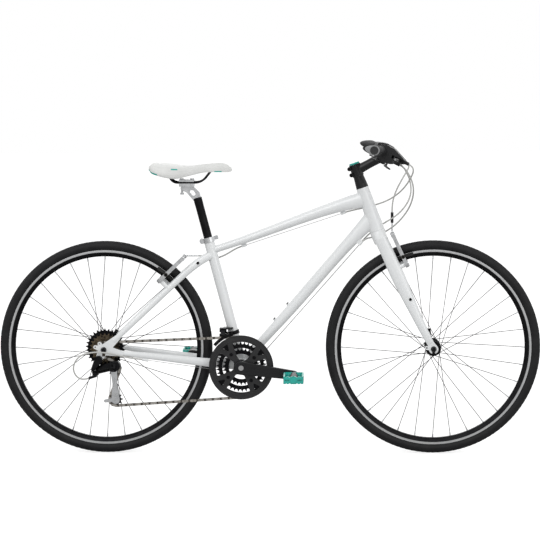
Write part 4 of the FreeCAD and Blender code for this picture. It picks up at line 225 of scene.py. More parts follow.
def hide(name, base, shade):
    # Fine pebbled covering
    material, tree, shader, place = finish(name, coat=0.12, coat_rough=0.35)
    cells = add(tree, "ShaderNodeTexVoronoi", {"Vector": place, "Scale": 520.0}, feature="DISTANCE_TO_EDGE")
    pebbles = add(tree, "ShaderNodeMapRange", {"Value": cells.outputs["Distance"], "From Max": 0.25})
    tint(tree, shader, grain(tree, place, scale=22.0), ((0.3, shade), (0.65, base)))
    gloss(tree, shader, grain(tree, place, scale=80.0), low=0.36, high=0.5)
    relief(tree, shader, pebbles.outputs["Result"], depth=0.00012, strength=0.45)
    return material


# Colour, shade, and where given the least and most roughness
white_paint = paint("white_paint", (0.875, 0.89, 0.895), (0.845, 0.862, 0.872))
teal_paint = paint("teal_paint", (0.016, 0.45, 0.375), (0.013, 0.385, 0.32), 0.25, 0.4, coat=0.4)
black_paint = paint("black_paint", (0.006, 0.006, 0.007), (0.004, 0.004, 0.005), 0.24, 0.38,
                    coat=0.12, specular=0.3)
black_alloy = alloy("black_alloy", (0.018, 0.018, 0.019), (0.010, 0.010, 0.011), 0.34, 0.5)
silver_alloy = alloy("silver_alloy", (0.66, 0.67, 0.68), (0.54, 0.55, 0.56), 0.22, 0.38)
steel = alloy("steel", (0.5, 0.5, 0.5), (0.4, 0.4, 0.4), 0.25, 0.4)
spoke_steel = alloy("spoke_steel", (0.06, 0.06, 0.063), (0.04, 0.04, 0.043), 0.3, 0.45)
dark_steel = oily("dark_steel", (0.11, 0.10, 0.088), (0.045, 0.038, 0.032))
cog_steel = oily("cog_steel", (0.17, 0.135, 0.09), (0.022, 0.018, 0.014))
link_steel = oily("link_steel", (0.46, 0.44, 0.41), (0.24, 0.22, 0.195))
ring_steel = oily("ring_steel", (0.016, 0.016, 0.017), (0.006, 0.006, 0.007))
black_plastic = moulding("black_plastic", (0.010, 0.010, 0.011), (0.006, 0.006, 0.007), 0.38, 0.55)
guard_plastic = moulding("guard_plastic", (0.019, 0.019, 0.020), (0.013, 0.013, 0.014), 0.34, 0.48)
grey_plastic = moulding("grey_plastic", (0.33, 0.335, 0.34), (0.27, 0.275, 0.28), 0.35, 0.5)
pad_rubber = moulding("pad_rubber", (0.018, 0.018, 0.018), (0.012, 0.012, 0.012), 0.6, 0.8)
grip_rubber = moulding("grip_rubber", (0.014, 0.014, 0.015), (0.009, 0.009, 0.010), 0.55, 0.75,
                       scale=2200.0, depth=0.0001)
housing_coat = moulding("housing_coat", (0.60, 0.60, 0.58), (0.52, 0.52, 0.50), 0.3, 0.45)
saddle_cover = hide("saddle_cover", (0.80, 0.805, 0.79), (0.745, 0.752, 0.738))

# Where one finish gives way to another on the solids, in metres
FLAT_SIDE = 0.9                          # share of a normal, on the rim's flat sides
FLANGE_ROUND = 0.8                       # share of a normal, off the flat of a hub's flange
TRACK_LOW = RIM_RADIUS - 0.0095
NIPPLE_LOW = RIM_RADIUS - 0.033
FLANGE_EDGE = 0.0262
SPOKE_BENDS = (0.0195, 0.0235)
PEDAL_CORE = (0.0985, 0.1845)            # from the centre plane
PEDAL_CORE_HALF, PEDAL_CORE_HIGH = 0.013, 0.0127
PAD_BAND, PAD_BACK = (0.3005, 0.3165), 0.0245
BOOT_LOW, BOOT_OUT = 0.3725, 0.0405
WASHER_IN, WASHER_RADIUS = 0.0492, 0.0068
SHELL_HALF, CABLE_GUIDE_TOP = 0.0342, 0.2645
CHAIN_LINE, ROLLER_HALF = -0.06, 0.0023
LARGE_COGS = (-0.034, -0.025)
BAR_PLUG = 0.2965
FRONT_LOCKNUT, REAR_LOCKNUT = 0.0567, 0.0747
POST_HEAD = 0.5563                       # along the seat tube from the bottom bracket
RAILS_TOP = 0.9015
HEADSET_COVER, HEADSET_CAP = 0.1442, 0.2225


# Finishes on the solids
def dress(name, *materials, pick=None):
    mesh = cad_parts[name].data
    mesh.materials.clear()
    for material in materials:
        mesh.materials.append(material)
    if pick:
        for face in mesh.polygons:
            face.material_index = pick(face.center, face.normal)


def dress_all(material, *names):
    for name in names:
        dress(name, material)


def beyond(limit):
    # The second finish from this far out on both sides
    return lambda p, n: int(abs(p.y) > limit)


def away_from(p, x):
    return math.hypot(p.x - x, p.z - AXLE_Z)


def dress_wheel(side, x):
    track = brake_track(side + "_brake_track", x)

    def rim_face(p, n):
        return int(abs(n.y) > FLAT_SIDE and away_from(p, x) > TRACK_LOW)

    def hub_face(p, n):
        away = away_from(p, x)
        if away > NIPPLE_LOW:
            return 2
        bend = abs(n.y) < FLANGE_ROUND and SPOKE_BENDS[0] < away < SPOKE_BENDS[1]
        return int(bend or away > FLANGE_EDGE)

    dress(side + "_rim", black_alloy, track, pick=rim_face)
    dress(side + "_hub", black_alloy, spoke_steel, silver_alloy, pick=hub_face)


def dress_pedal(name):
    # A coloured cage round a black core
    low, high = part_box(name)
    middle = (Vector(low) + Vector(high)) * 0.5

    def face(p, n):
        off = p - middle
        core = abs(off.x) < PEDAL_CORE_HALF and abs(off.z) < PEDAL_CORE_HIGH
        return int(core and PEDAL_CORE[0] < abs(p.y) < PEDAL_CORE[1])

    dress(name, teal_paint, black_plastic, pick=face)


def pad_post(x):
    # Where the line of a brake pad's post crosses the centre plane
    turn = math.radians(FRONT_BRAKE if x > 0.0 else REAR_BRAKE)
    lead = turn - math.copysign(math.pi / 2.0, x)
    at = Vector((x, 0.0, AXLE_Z))
    for angle, reach in ((turn, STUD_REACH + POST_RISE), (lead, POST_LEAD)):
        at += Vector((math.cos(angle), 0.0, math.sin(angle))) * reach
    return at


def dress_brake(name, x):
    # A silver arm with its pad, the washer under the pad's nut, and the wire's boot on the right
    post = pad_post(x)

    def face(p, n):
        away, out = away_from(p, x), abs(p.y)
        if out > WASHER_IN and math.hypot(p.x - post.x, p.z - post.z) < WASHER_RADIUS:
            return 2
        pad = PAD_BAND[0] < away < PAD_BAND[1] and out < PAD_BACK
        boot = away > BOOT_LOW and out < BOOT_OUT and name.endswith("right")
        return int(pad or boot)

    dress(name, silver_alloy, pad_rubber, dark_steel, pick=face)


def bracket_face(p, n):
    # White shell, black cups at its ends, plastic cable guide below
    return 2 if p.z < CABLE_GUIDE_TOP else int(abs(p.y) > SHELL_HALF)


def headset_face(p, n):
    # Bearings, then the cover, then the cap
    level = (p - HEAD_FOOT).dot(HEAD_UP)
    return int(level > HEADSET_COVER) + int(level > HEADSET_CAP)


def seatpost_face(p, n):
    return int((p - BRACKET).dot(SEAT_UP) > POST_HEAD)


def dress_solids():
    dress_all(white_paint, "head_tube", "top_tube", "down_tube", "seat_tube", "chainstays", "seatstays",
              "fork")
    dress("bottom_bracket", white_paint, black_alloy, black_plastic, pick=bracket_face)
    for side, x in WHEELS:
        dress_wheel(side, x)
    dress("chain", dark_steel, link_steel, pick=lambda p, n: int(abs(p.y - CHAIN_LINE) > ROLLER_HALF))
    dress("cassette", cog_steel, ring_steel, pick=lambda p, n: int(LARGE_COGS[0] < p.y < LARGE_COGS[1]))
    dress_all(ring_steel, "chainrings", "front_derailleur_cage")
    dress_all(guard_plastic, "chain_guard")
    dress_all(black_paint, "right_crank", "left_crank", "stem")
    dress_all(steel, "crank_spindle")
    dress("handlebar", black_paint, guard_plastic, pick=beyond(BAR_PLUG))
    dress("front_axle", steel, black_alloy, pick=beyond(FRONT_LOCKNUT))
    dress("rear_axle", steel, black_alloy, pick=beyond(REAR_LOCKNUT))
    dress("headset", steel, black_paint, teal_paint, pick=headset_face)
    dress("seatpost", black_alloy, silver_alloy, pick=seatpost_face)
    dress("saddle_frame", black_plastic, black_alloy, pick=lambda p, n: int(p.z < RAILS_TOP))
    dress_all(silver_alloy, "seat_collar", "seat_collar_lever", "rear_derailleur_cage")
    dress_all(black_alloy, "rear_derailleur_knuckle")
    dress_all(black_plastic, "lever_brackets", "guide_pulley", "tension_pulley")
    for side in ("right", "left"):
        dress_pedal(side + "_pedal")
        dress_all(black_paint, side + "_brake_lever")
        dress_all(black_plastic, side + "_shift_lever", side + "_shift_trigger")
        for end, x in WHEELS:
            dress_brake(end + "_brake_arm_" + side, x)
    for end in ("front", "rear"):
        dress_all(black_alloy, end + "_quick_release_lever", end + "_derailleur_mount",
                  end + "_derailleur_outer_link", end + "_derailleur_inner_link")


dress_solids()


# Mesh and node-tree helpers
def piece_from(name, mesh, *materials):
    mesh.materials.clear()
    for material in materials:
        mesh.materials.append(material)
    obj = bpy.data.objects.new(name, mesh)
    bpy.context.scene.collection.objects.link(obj)
    return obj


def mesh_of(obj, name):
    # The evaluated shape as a plain mesh; the object it came from is removed
    bpy.context.view_layer.update()
    graph = bpy.context.evaluated_depsgraph_get()
    mesh = bpy.data.meshes.new_from_object(obj.evaluated_get(graph), depsgraph=graph)
    mesh.name = name
    bpy.data.objects.remove(obj)
    return mesh


def smooth(mesh):
    mesh.polygons.foreach_set("use_smooth", [True] * len(mesh.polygons))
    mesh.update()


def rings_mesh(name, rings, wrap=False):
    # Skin over rings of points, each closed on itself; the ends are capped, or joined where it wraps
    mesh = bpy.data.meshes.new(name)
    bm = bmesh.new()
    rows = [[bm.verts.new(p) for p in ring] for ring in rings]
    pairs = list(zip(rows, rows[1:])) + ([(rows[-1], rows[0])] if wrap else [])
    for row, after in pairs:
        count = len(row)
        for k in range(count):
            bm.faces.new((row[k], row[(k + 1) % count], after[(k + 1) % count], after[k]))
    if not wrap:
        bm.faces.new(list(reversed(rows[0])))
        bm.faces.new(rows[-1])
    bmesh.ops.recalc_face_normals(bm, faces=bm.faces)
    bm.to_mesh(mesh)
    bm.free()
    smooth(mesh)
    return mesh


def ball(name, halves):
    # A small faceted ball, drawn out to these half sizes
    mesh = bpy.data.meshes.new(name)
    bm = bmesh.new()
    bmesh.ops.create_icosphere(bm, subdivisions=1, radius=1.0)
    bmesh.ops.scale(bm, vec=halves, verts=bm.verts)
    bm.to_mesh(mesh)
    bm.free()
    return piece_from(name, mesh)


def spline_tube(name, points, radius, material):
    # A smooth line with the route's points as its control points
    curve = bpy.data.curves.new(name, "CURVE")
    curve.dimensions = "3D"
    curve.bevel_depth = radius
    curve.bevel_resolution = 3
    curve.resolution_u = 10
    curve.use_fill_caps = True
    line = curve.splines.new("NURBS")
    line.points.add(len(points) - 1)
    for knot, p in zip(line.points, points):
        knot.co = (*p, 1.0)
    line.order_u = min(3, len(points))
    line.use_endpoint_u = True
    carrier = bpy.data.objects.new(name, curve)
    bpy.context.scene.collection.objects.link(carrier)
    mesh = mesh_of(carrier, name)
    smooth(mesh)
    return piece_from(name, mesh, material)


def tree_with(name, sockets):
    tree = bpy.data.node_groups.new(name, "GeometryNodeTree")
    tree.interface.new_socket("Geometry", in_out="OUTPUT", socket_type="NodeSocketGeometry")
    keys = {}
    for label, kind in sockets:
        keys[label] = tree.interface.new_socket(label, in_out="INPUT", socket_type=kind).identifier
    return tree, tree.nodes.new("NodeGroupInput").outputs, keys


def shape_of(tree, given):
    return add(tree, "GeometryNodeObjectInfo", {"Object": given}).outputs["Geometry"]


def close_tree(tree, shape, material):
    real = add(tree, "GeometryNodeRealizeInstances", {"Geometry": shape})
    dressed = add(tree, "GeometryNodeSetMaterial", {"Geometry": real.outputs["Geometry"],
                                                    "Material": material})
    add(tree, "NodeGroupOutput", {"Geometry": dressed.outputs["Geometry"]})


def ring_tree(name, material):
    # Copies of one piece set round an axle at equal steps
    tree, given, keys = tree_with(name, (("Piece", "NodeSocketObject"), ("Count", "NodeSocketInt"),
                                         ("Radius", "NodeSocketFloat"), ("Centre", "NodeSocketVector")))
    index = tree.nodes.new("GeometryNodeInputIndex").outputs["Index"]
    angle = calc(tree, "MULTIPLY", index, calc(tree, "DIVIDE", math.tau, given["Count"]))
    x, z = (calc(tree, "MULTIPLY", calc(tree, share, angle), given["Radius"])
            for share in ("COSINE", "SINE"))
    spot = add(tree, "ShaderNodeCombineXYZ", {"X": x, "Z": z})
    turn = add(tree, "ShaderNodeCombineXYZ", {"Y": calc(tree, "MULTIPLY", angle, -1.0)})
    points = add(tree, "GeometryNodePoints", {"Count": given["Count"], "Position": spot.outputs["Vector"]})
    copies = add(tree, "GeometryNodeInstanceOnPoints", {
        "Points": points.outputs[0], "Instance": shape_of(tree, given["Piece"]),
        "Rotation": turn.outputs["Vector"]})
    moved = add(tree, "GeometryNodeTransform", {"Geometry": copies.outputs["Instances"],
                                                "Translation": given["Centre"]})
    close_tree(tree, moved.outputs["Geometry"], material)
    return tree, keys


def path_tree(name, material):
    # Copies of one piece set along a line at equal steps, turned to follow it
    tree, given, keys = tree_with(name, (("Path", "NodeSocketObject"), ("Piece", "NodeSocketObject"),
                                         ("Step", "NodeSocketFloat")))
    line = add(tree, "GeometryNodeMeshToCurve", {"Mesh": shape_of(tree, given["Path"])})
    dots = add(tree, "GeometryNodeResampleCurve", {"Curve": line.outputs["Curve"], "Length": given["Step"]},
               mode="LENGTH")
    along = tree.nodes.new("GeometryNodeInputTangent").outputs["Tangent"]
    turn = add(tree, "FunctionNodeAlignRotationToVector", {"Vector": along}, axis="X")
    copies = add(tree, "GeometryNodeInstanceOnPoints", {
        "Points": dots.outputs["Curve"], "Instance": shape_of(tree, given["Piece"]),
        "Rotation": turn.outputs["Rotation"]})
    close_tree(tree, copies.outputs["Instances"], material)
    return tree, keys


def spots_tree(name, material):
    # Copies of one piece set on given spots, each turned to its spot's axis and grown by one scale
    tree, given, keys = tree_with(name, (("Spots", "NodeSocketObject"), ("Piece", "NodeSocketObject"),
                                         ("Scale", "NodeSocketFloat")))
    dots = add(tree, "GeometryNodeMeshToPoints", {"Mesh": shape_of(tree, given["Spots"])})
    axis = add(tree, "GeometryNodeInputNamedAttribute", {"Name": "axis"}, data_type="FLOAT_VECTOR")
    turn = add(tree, "FunctionNodeAlignRotationToVector", {"Vector": axis.outputs["Attribute"]}, axis="Z")
    copies = add(tree, "GeometryNodeInstanceOnPoints", {
        "Points": dots.outputs["Points"], "Instance": shape_of(tree, given["Piece"]),
        "Rotation": turn.outputs["Rotation"], "Scale": given["Scale"]})
    close_tree(tree, copies.outputs["Instances"], material)
    return tree, keys


def grown(name, tree, keys, values, material):
    # Runs a node tree on an empty carrier and keeps the result as a plain piece
    carrier = piece_from(name + "_carrier", bpy.data.meshes.new(name + "_carrier"))
    modifier = carrier.modifiers.new("nodes", "NODES")
    modifier.node_group = tree
    for label, value in values.items():
        modifier[keys[label]] = value
    return piece_from(name, mesh_of(carrier, name), material)


def row_along(name, points, loop, tree, keys, bead, step, material):
    # Copies of a bead along a line of points, which may close on itself
    edges = [(k, (k + 1) % len(points)) for k in range(len(points) if loop else len(points) - 1)]
    line = bpy.data.meshes.new(name + "_line")
    line.from_pydata(points, edges, [])
    path = piece_from(name + "_line", line)
    row = grown(name, tree, keys, {"Path": path, "Piece": bead, "Step": step}, material)
    bpy.data.objects.remove(path)
    return row


# Cables and housings
MOUTH_AHEAD = Vector((0.8804, -0.1673, -0.4438))
MOUTH_RUN = 0.022
TOP_ALONG = Vector((0.9446, 0.0, 0.3284))
DOWN_ALONG = Vector((0.661, 0.0, 0.751))
TOP_STOP, REAR_STOP = mm(230.8, 9.0, 770.6), mm(-85.8, 9.0, 667.1)
DOWN_STOP, RIGHT_DOWN_STOP = mm(289.1, 8.0, 671.7), mm(289.1, -8.0, 671.7)
STAY_STOP = mm(-394.0, -58.75, 309.25)
DERAILLEUR_BAND = mm(-139.3, 8.0, 377.7)
STOP_DEPTH, STOP_RUN = 0.008, 0.027
WIRE_START = 0.009
GEAR_WIRE_OUT = 0.008
BRAKE_MOUTH, SHIFT_MOUTH = (441.3, 144.1, 933.5), (413.3, 139.4, 931.4)
SHELL_BEND = 0.0275
BOOT_RADIUS = 0.0046


def way(*points):
    return [mm(*p) for p in points]


def out_of_mouth(at, side):
    # The first two points of a housing, straight out of its bracket
    start = mm(at[0], at[1] * side, at[2])
    return [start, start + Vector((MOUTH_AHEAD.x, MOUTH_AHEAD.y * -side, MOUTH_AHEAD.z)) * MOUTH_RUN]


def into_stop(stop, along):
    # The last two points of a housing, in line with its stop
    return [stop + along * STOP_RUN, stop + along * STOP_DEPTH]


def steering_cables():
    routes = {
        "rear_brake_housing": out_of_mouth(BRAKE_MOUTH, -1) + way(
            (446, -124, 884), (420, -60, 844), (380, 14, 811), (324, 38, 792))
        + into_stop(TOP_STOP, TOP_ALONG),
        "rear_shift_housing": out_of_mouth(SHIFT_MOUTH, -1) + way(
            (460, -140, 864), (452, -66, 800), (414, 12, 740), (368, 46, 706), (338, 40, 694))
        + into_stop(RIGHT_DOWN_STOP, DOWN_ALONG),
        "front_shift_housing": out_of_mouth(SHIFT_MOUTH, 1) + way(
            (460, 148, 868), (458, 92, 816), (420, 64, 766), (364, 54, 734), (330, 38, 712))
        + into_stop(DOWN_STOP, DOWN_ALONG),
    }
    made = []
    for name, route in routes.items():
        tube = spline_tube(name, route, HOUSING, housing_coat)
        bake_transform(tube)
        made.append(tube)
    front = out_of_mouth(BRAKE_MOUTH, 1) + way((434, 122, 882), (408, 88, 838), (396.5, 74, 799.6),
                                               (396.5, 74, 773.6))
    made.append(spline_tube("front_brake_housing", front, HOUSING, housing_coat))
    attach(made[-1], "steering-body")
    for tube in made:
        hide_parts("steering_housings")
    wire_end = way((396.5, 74, 737), (396.5, 74, 771))
    boot = spline_tube("front_brake_boot", wire_end, BOOT_RADIUS, pad_rubber)
    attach(boot, "front-brake-arm-left")


def round_shell(first, last, bends, y):
    # Corners of a cable that bends round the bottom bracket shell, between two angles in degrees
    step = (last - first) / bends
    radius = SHELL_BEND / math.cos(math.radians(step / 2.0))
    turns = [math.radians(first + step * (k + 0.5)) for k in range(bends)]
    return [BRACKET + Vector((radius * math.cos(a), y, radius * math.sin(a))) for a in turns]


def frame_wires():
    gear_end, right_gear_end = (stop + DOWN_ALONG * STOP_DEPTH for stop in (DOWN_STOP, RIGHT_DOWN_STOP))
    rear_round = round_shell(first=-41.35, last=-99.6, bends=2, y=-GEAR_WIRE_OUT)
    front_round = round_shell(first=-41.35, last=-165.4, bends=4, y=GEAR_WIRE_OUT)
    routes = {
        "rear_brake_wire": (WIRE, steel, [TOP_STOP + TOP_ALONG * WIRE_START, REAR_STOP]),
        "rear_gear_wire": (WIRE, steel, [right_gear_end] + rear_round + [STAY_STOP]),
        "front_gear_wire": (WIRE, steel, [gear_end] + front_round + [DERAILLEUR_BAND]),
        "rear_brake_loop": (HOUSING, housing_coat, way(
            (-228.1, 74, 631.6), (-206, 74, 630), (-178, 60, 623), (-146, 30, 634), (-104.7, 9, 660.5))
            + [REAR_STOP, REAR_STOP + TOP_ALONG * STOP_DEPTH]),
        "derailleur_loop": (HOUSING, housing_coat, way(
            (-404, -60, 311), (-450, -74, 318), (-500, -88, 334), (-556, -92, 340), (-606, -92, 326),
            (-626, -88, 282), (-600.6, -84, 244.8), (-572, -84, 254))),
    }
    for name, (radius, material, route) in routes.items():
        tube = spline_tube(name, route, radius, material)
        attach(tube, "frame-body")
        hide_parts("frame_cables")


# Bolts and nuts, each standing on its spot and turned to its axis
BOLT_HEAD = ((1.0, -0.15), (1.0, 0.55), (0.88, 0.75), (0.55, 0.75), (0.55, 0.25), (0.05, 0.25))
BOLT_SIDES = 28
BOSS_UP = (-0.751, 0.0, 0.6605)
STEM_LEVELS = (0.193, 0.2135)
STEM_BACK, STEM_HALF = 0.0205, 0.014


def bolt_head():
    # A round head with a socket, one millimetre in radius, turned from radii and heights on the XY plane
    rings = []
    for radius, height in ((r * 0.001, h * 0.001) for r, h in BOLT_HEAD):
        turns = [math.tau * k / BOLT_SIDES for k in range(BOLT_SIDES)]
        rings.append([Vector((radius * math.cos(a), radius * math.sin(a), height)) for a in turns])
    head = piece_from("bolt_head", rings_mesh("bolt_head", rings), black_alloy)
    head.data.polygons.foreach_set("use_smooth", [False] * len(head.data.polygons))
    return head


def set_bolts(name, spots, body, tree, keys, head, radius):
    # One head on each spot, of this radius in millimetres, as one piece
    mesh = bpy.data.meshes.new(name + "_spots")
    mesh.from_pydata([at for at, axis in spots], [], [])
    axes = mesh.attributes.new("axis", "FLOAT_VECTOR", "POINT")
    axes.data.foreach_set("vector", [c for at, axis in spots for c in axis])
    carrier = piece_from(name + "_spots", mesh)
    made = grown(name, tree, keys, {"Spots": carrier, "Piece": head, "Scale": radius}, black_alloy)
    bpy.data.objects.remove(carrier)
    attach(made, body)


def make_bolts():
    head = bolt_head()
    tree, keys = spots_tree("bolt_spots", black_alloy)
    ahead = Vector((HEAD_UP.z, 0.0, -HEAD_UP.x))
    bottle = [(mm(18.09, 0.0, 433.92), BOSS_UP), (mm(60.16, 0.0, 482.97), BOSS_UP)]
    rack, blade, stem = [], [], []
    for side in (-1.0, 1.0):
        out = (0.0, side, 0.0)
        rack.append((mm(-225.0, side * 31.4, 617.0), out))
        blade.append((mm(450.9, side * 56.6, 502.4), out))
        for level in STEM_LEVELS:
            back = HEAD_FOOT + HEAD_UP * level - ahead * STEM_BACK
            stem.append((back + Vector((0.0, side * STEM_HALF, 0.0)), out))
    set_bolts("bottle_bolts", bottle, "frame-body", tree, keys, head, radius=4.3)
    set_bolts("rack_bolts", rack, "frame-body", tree, keys, head, radius=4.6)
    set_bolts("blade_bolts", blade, "steering-body", tree, keys, head, radius=4.4)
    set_bolts("stem_bolts", stem, "steering-body", tree, keys, head, radius=4.2)
    for end, x in WHEELS:
        for label, side in SIDES:
            out = Vector((0.0, side, 0.0))
            nut = [(pad_post(x) + out * POST_END, out)]
            set_bolts(end + "_pad_nut_" + label, nut, end + "-brake-arm-" + label,
                      tree, keys, head, radius=4.6)
    bpy.data.objects.remove(head)


# Welds: two stations of a tube, each x, z, half height and half width in millimetres, and the solid it meets
WELDS = {
    "down_tube_top": ((289.0, 713.5, 21.8, 18.0), (336.0, 764.0, 27.0, 18.0), "head_tube"),
    "top_tube_front": ((228.0, 797.8, 20.4, 18.0), (313.0, 819.0, 26.5, 18.0), "head_tube"),
    "top_tube_rear": ((-60.0, 695.6, 12.8, 14.5), (-190.0, 652.5, 11.5, 12.5), "seat_tube"),
    "down_tube_foot": ((22.4, 411.5, 15.6, 19.0), (-87.0, 286.0, 16.5, 22.0), "seat_tube"),
}
WELD_RAYS = 72
WELD_STEP = 0.0024
WELD_BEAD = (0.0019, 0.0017, 0.0017)


def weld_line(start, end, solid):
    # Where the tube's straight flanks run into the other solid
    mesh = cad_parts[solid].data
    tree = BVHTree.FromPolygons([v.co for v in mesh.vertices], [f.vertices for f in mesh.polygons])
    first, last = (Vector((row[0], 0.0, row[1])) for row in (start, end))
    along = (last - first).normalized()
    up = Vector((-along.z, 0.0, along.x))
    found = []
    for k in range(WELD_RAYS):
        a = math.tau * k / WELD_RAYS
        p, q = (centre + up * row[2] * math.cos(a) + Vector((0.0, row[3] * math.sin(a), 0.0))
                for centre, row in ((first, start), (last, end)))
        hit = tree.ray_cast(p * 0.001, (q - p).normalized())[0]
        if hit:
            found.append(hit)
    return found


def make_welds():
    bead = ball("weld_bead", WELD_BEAD)
    smooth(bead.data)
    tree, keys = path_tree("weld_row", white_paint)
    for name, (start, end, solid) in WELDS.items():
        points = weld_line(start, end, solid)
        weld = row_along("weld_" + name, points, True, tree, keys, bead, WELD_STEP, white_paint)
        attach(weld, "frame-body")
    bpy.data.objects.remove(bead)


# Raised rings on the chain guard's outer face
GUARD_RIDGES = (("outer", 0.1006), ("inner", 0.0890))
GUARD_FACE = -0.0671
RIDGE_HALF, RIDGE_HIGH = 0.0012, 0.0011
RIDGE_STEPS, RIDGE_BOWS = 160, 6


def make_guard_ridges():
    bows = [math.pi * j / RIDGE_BOWS for j in range(RIDGE_BOWS + 1)]
    for label, radius in GUARD_RIDGES:
        rings = []
        for k in range(RIDGE_STEPS):
            a = math.tau * k / RIDGE_STEPS
            out = Vector((math.cos(a), 0.0, math.sin(a)))
            rings.append([BRACKET + out * (radius + RIDGE_HALF * math.cos(b))
                          + Vector((0.0, GUARD_FACE - RIDGE_HIGH * math.sin(b), 0.0)) for b in bows])
        name = "guard_ridge_" + label
        ridge = piece_from(name, rings_mesh(name, rings, wrap=True), guard_plastic)
        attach(ridge, "crankset")


# Tyres
TYRE_STEPS, WALL_STEPS = 180, 40
WALL_ANGLE = 127.0                       # in degrees, from the crown to where the wall meets the rim
BEAD_HALF, BEAD_HIGH = 0.0096, 0.004
BEAD_LOW = RIM_RADIUS - 0.0055
TREAD_PITCHES = 124
TREAD_HEIGHT = 0.0008
# Angle from the crown in degrees; shift, half length and half width in metres; slant as a slope
TREAD_BLOCKS = ((-46.0, 0.002, 0.0052, 0.0021, 0.9), (-24.0, -0.003, 0.0058, 0.0022, 0.5),
                (-6.5, 0.003, 0.0066, 0.0018, 0.16), (6.5, -0.0055, 0.0066, 0.0018, -0.16),
                (24.0, 0.0055, 0.0058, 0.0022, -0.5), (46.0, -0.0065, 0.0052, 0.0021, -0.9))
# Height over the tyre and share of the full size, from a block's foot to its top
BLOCK_LEVELS = ((-0.0012, 1.15), (TREAD_HEIGHT * 0.55, 1.0), (TREAD_HEIGHT, 0.8))
BLOCK_CORNERS = ((-1.0, -0.35), (-0.35, -1.0), (1.0, 0.35), (0.35, 1.0))


def tyre_body(name, x):
    core = TYRE_RADIUS - TYRE_HALF
    outline = []
    for k in range(WALL_STEPS + 1):
        a = math.radians(-WALL_ANGLE + 2.0 * WALL_ANGLE * k / WALL_STEPS)
        outline.append((core + (TYRE_HALF - TREAD_HEIGHT) * math.cos(a), TYRE_HALF * math.sin(a)))
    outline += [(BEAD_LOW + BEAD_HIGH, BEAD_HALF), (BEAD_LOW, BEAD_HALF),
                (BEAD_LOW, -BEAD_HALF), (BEAD_LOW + BEAD_HIGH, -BEAD_HALF)]
    rings = []
    for s in range(TYRE_STEPS):
        t = math.tau * s / TYRE_STEPS
        rings.append([Vector((x + r * math.cos(t), y, AXLE_Z + r * math.sin(t))) for r, y in outline])
    return rings_mesh(name, rings, wrap=True)


def tread_block(bm, cross, shift, half_long, half_wide, slant):
    # One lozenge on the crown: radial is +X, across the tyre is Y, along the tread is Z
    a = math.radians(cross)
    out, side = Vector((math.cos(a), math.sin(a), 0.0)), Vector((-math.sin(a), math.cos(a), 0.0))
    centre = Vector((-TYRE_HALF, 0.0, shift))
    rows = []
    for height, share in BLOCK_LEVELS:
        row = []
        for u, w in BLOCK_CORNERS:
            along = u * half_long * share
            across = w * half_wide * share + u * half_long * slant * share * 0.5
            row.append(bm.verts.new(centre + out * (TYRE_HALF - TREAD_HEIGHT + height) + side * across
                                    + Vector((0.0, 0.0, along))))
        rows.append(row)
    for row, after in zip(rows, rows[1:]):
        for k in range(4):
            bm.faces.new((row[k], row[(k + 1) % 4], after[(k + 1) % 4], after[k]))
    bm.faces.new(rows[-1])
    bm.faces.new(list(reversed(rows[0])))


def tread_pitch():
    # The blocks that repeat round the tyre
    mesh = bpy.data.meshes.new("tread_pitch")
    bm = bmesh.new()
    for block in TREAD_BLOCKS:
        tread_block(bm, *block)
    bmesh.ops.recalc_face_normals(bm, faces=bm.faces)
    bm.to_mesh(mesh)
    bm.free()
    return piece_from("tread_pitch", mesh)


def make_tyres():
    pitch = tread_pitch()
    for side, x in WHEELS:
        rubber = tyre_rubber(side + "_tyre_rubber", x)
        tyre = piece_from(side + "_tyre_cover", tyre_body(side + "_tyre_cover", x), rubber)
        tree, keys = ring_tree(side + "_tread", rubber)
        sizes = {"Piece": pitch, "Count": TREAD_PITCHES, "Radius": TYRE_RADIUS, "Centre": (x, 0.0, AXLE_Z)}
        tread = grown(side + "_tread", tree, keys, sizes, rubber)
        for piece in (tyre, tread):
            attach(piece, side + "-wheel")
        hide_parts(side + "_tyre")
    bpy.data.objects.remove(pitch)


# Smooth lines through given points
def between(a, b, c, d, t):
    # A point on the stretch from b to c, with a and d as the points before and after it
    return 0.5 * (2.0 * b + (c - a) * t + (2.0 * a - 5.0 * b + 4.0 * c - d) * t * t
                  + (3.0 * b - a - 3.0 * c + d) * t * t * t)


def open_line(points, steps):
    made = []
    ends = [points[0] * 2.0 - points[1]] + list(points) + [points[-1] * 2.0 - points[-2]]
    for k in range(len(points) - 1):
        made += [between(*ends[k:k + 4], s / steps) for s in range(steps)]
    return made + [points[-1]]


def closed_line(points, steps):
    count = len(points)
    made = []
    for k in range(count):
        four = [points[(k + j - 1) % count] for j in range(4)]
        made += [between(*four, s / steps) for s in range(steps)]
    return made


# Saddle: x, half width, lowest edge, crown and rim levels, in millimetres
SADDLE = ((-375.0, 56.0, 912.0, 929.0, 922.0), (-364.0, 74.0, 903.0, 936.5, 917.0),
          (-330.0, 83.0, 893.0, 936.0, 911.0), (-292.0, 70.0, 887.5, 931.0, 909.5),
          (-250.0, 44.0, 895.5, 927.5, 910.5), (-205.0, 27.0, 905.0, 933.0, 913.5),
          (-165.0, 21.0, 906.0, 936.5, 914.5), (-134.0, 17.5, 905.5, 931.5, 914.5),
          (-121.0, 12.0, 906.5, 922.5, 914.0))
SADDLE_LONG_STEPS, SADDLE_STEPS = 6, 8   # points to each row of the table, and to each corner of an outline
SADDLE_CORNERS = 14
# The ends close in over a few short steps so that nose and tail are round: share of the ring, and way out
SADDLE_CAPS = ((0.93, 0.0016), (0.78, 0.0030), (0.5, 0.0040), (0.2, 0.0045))
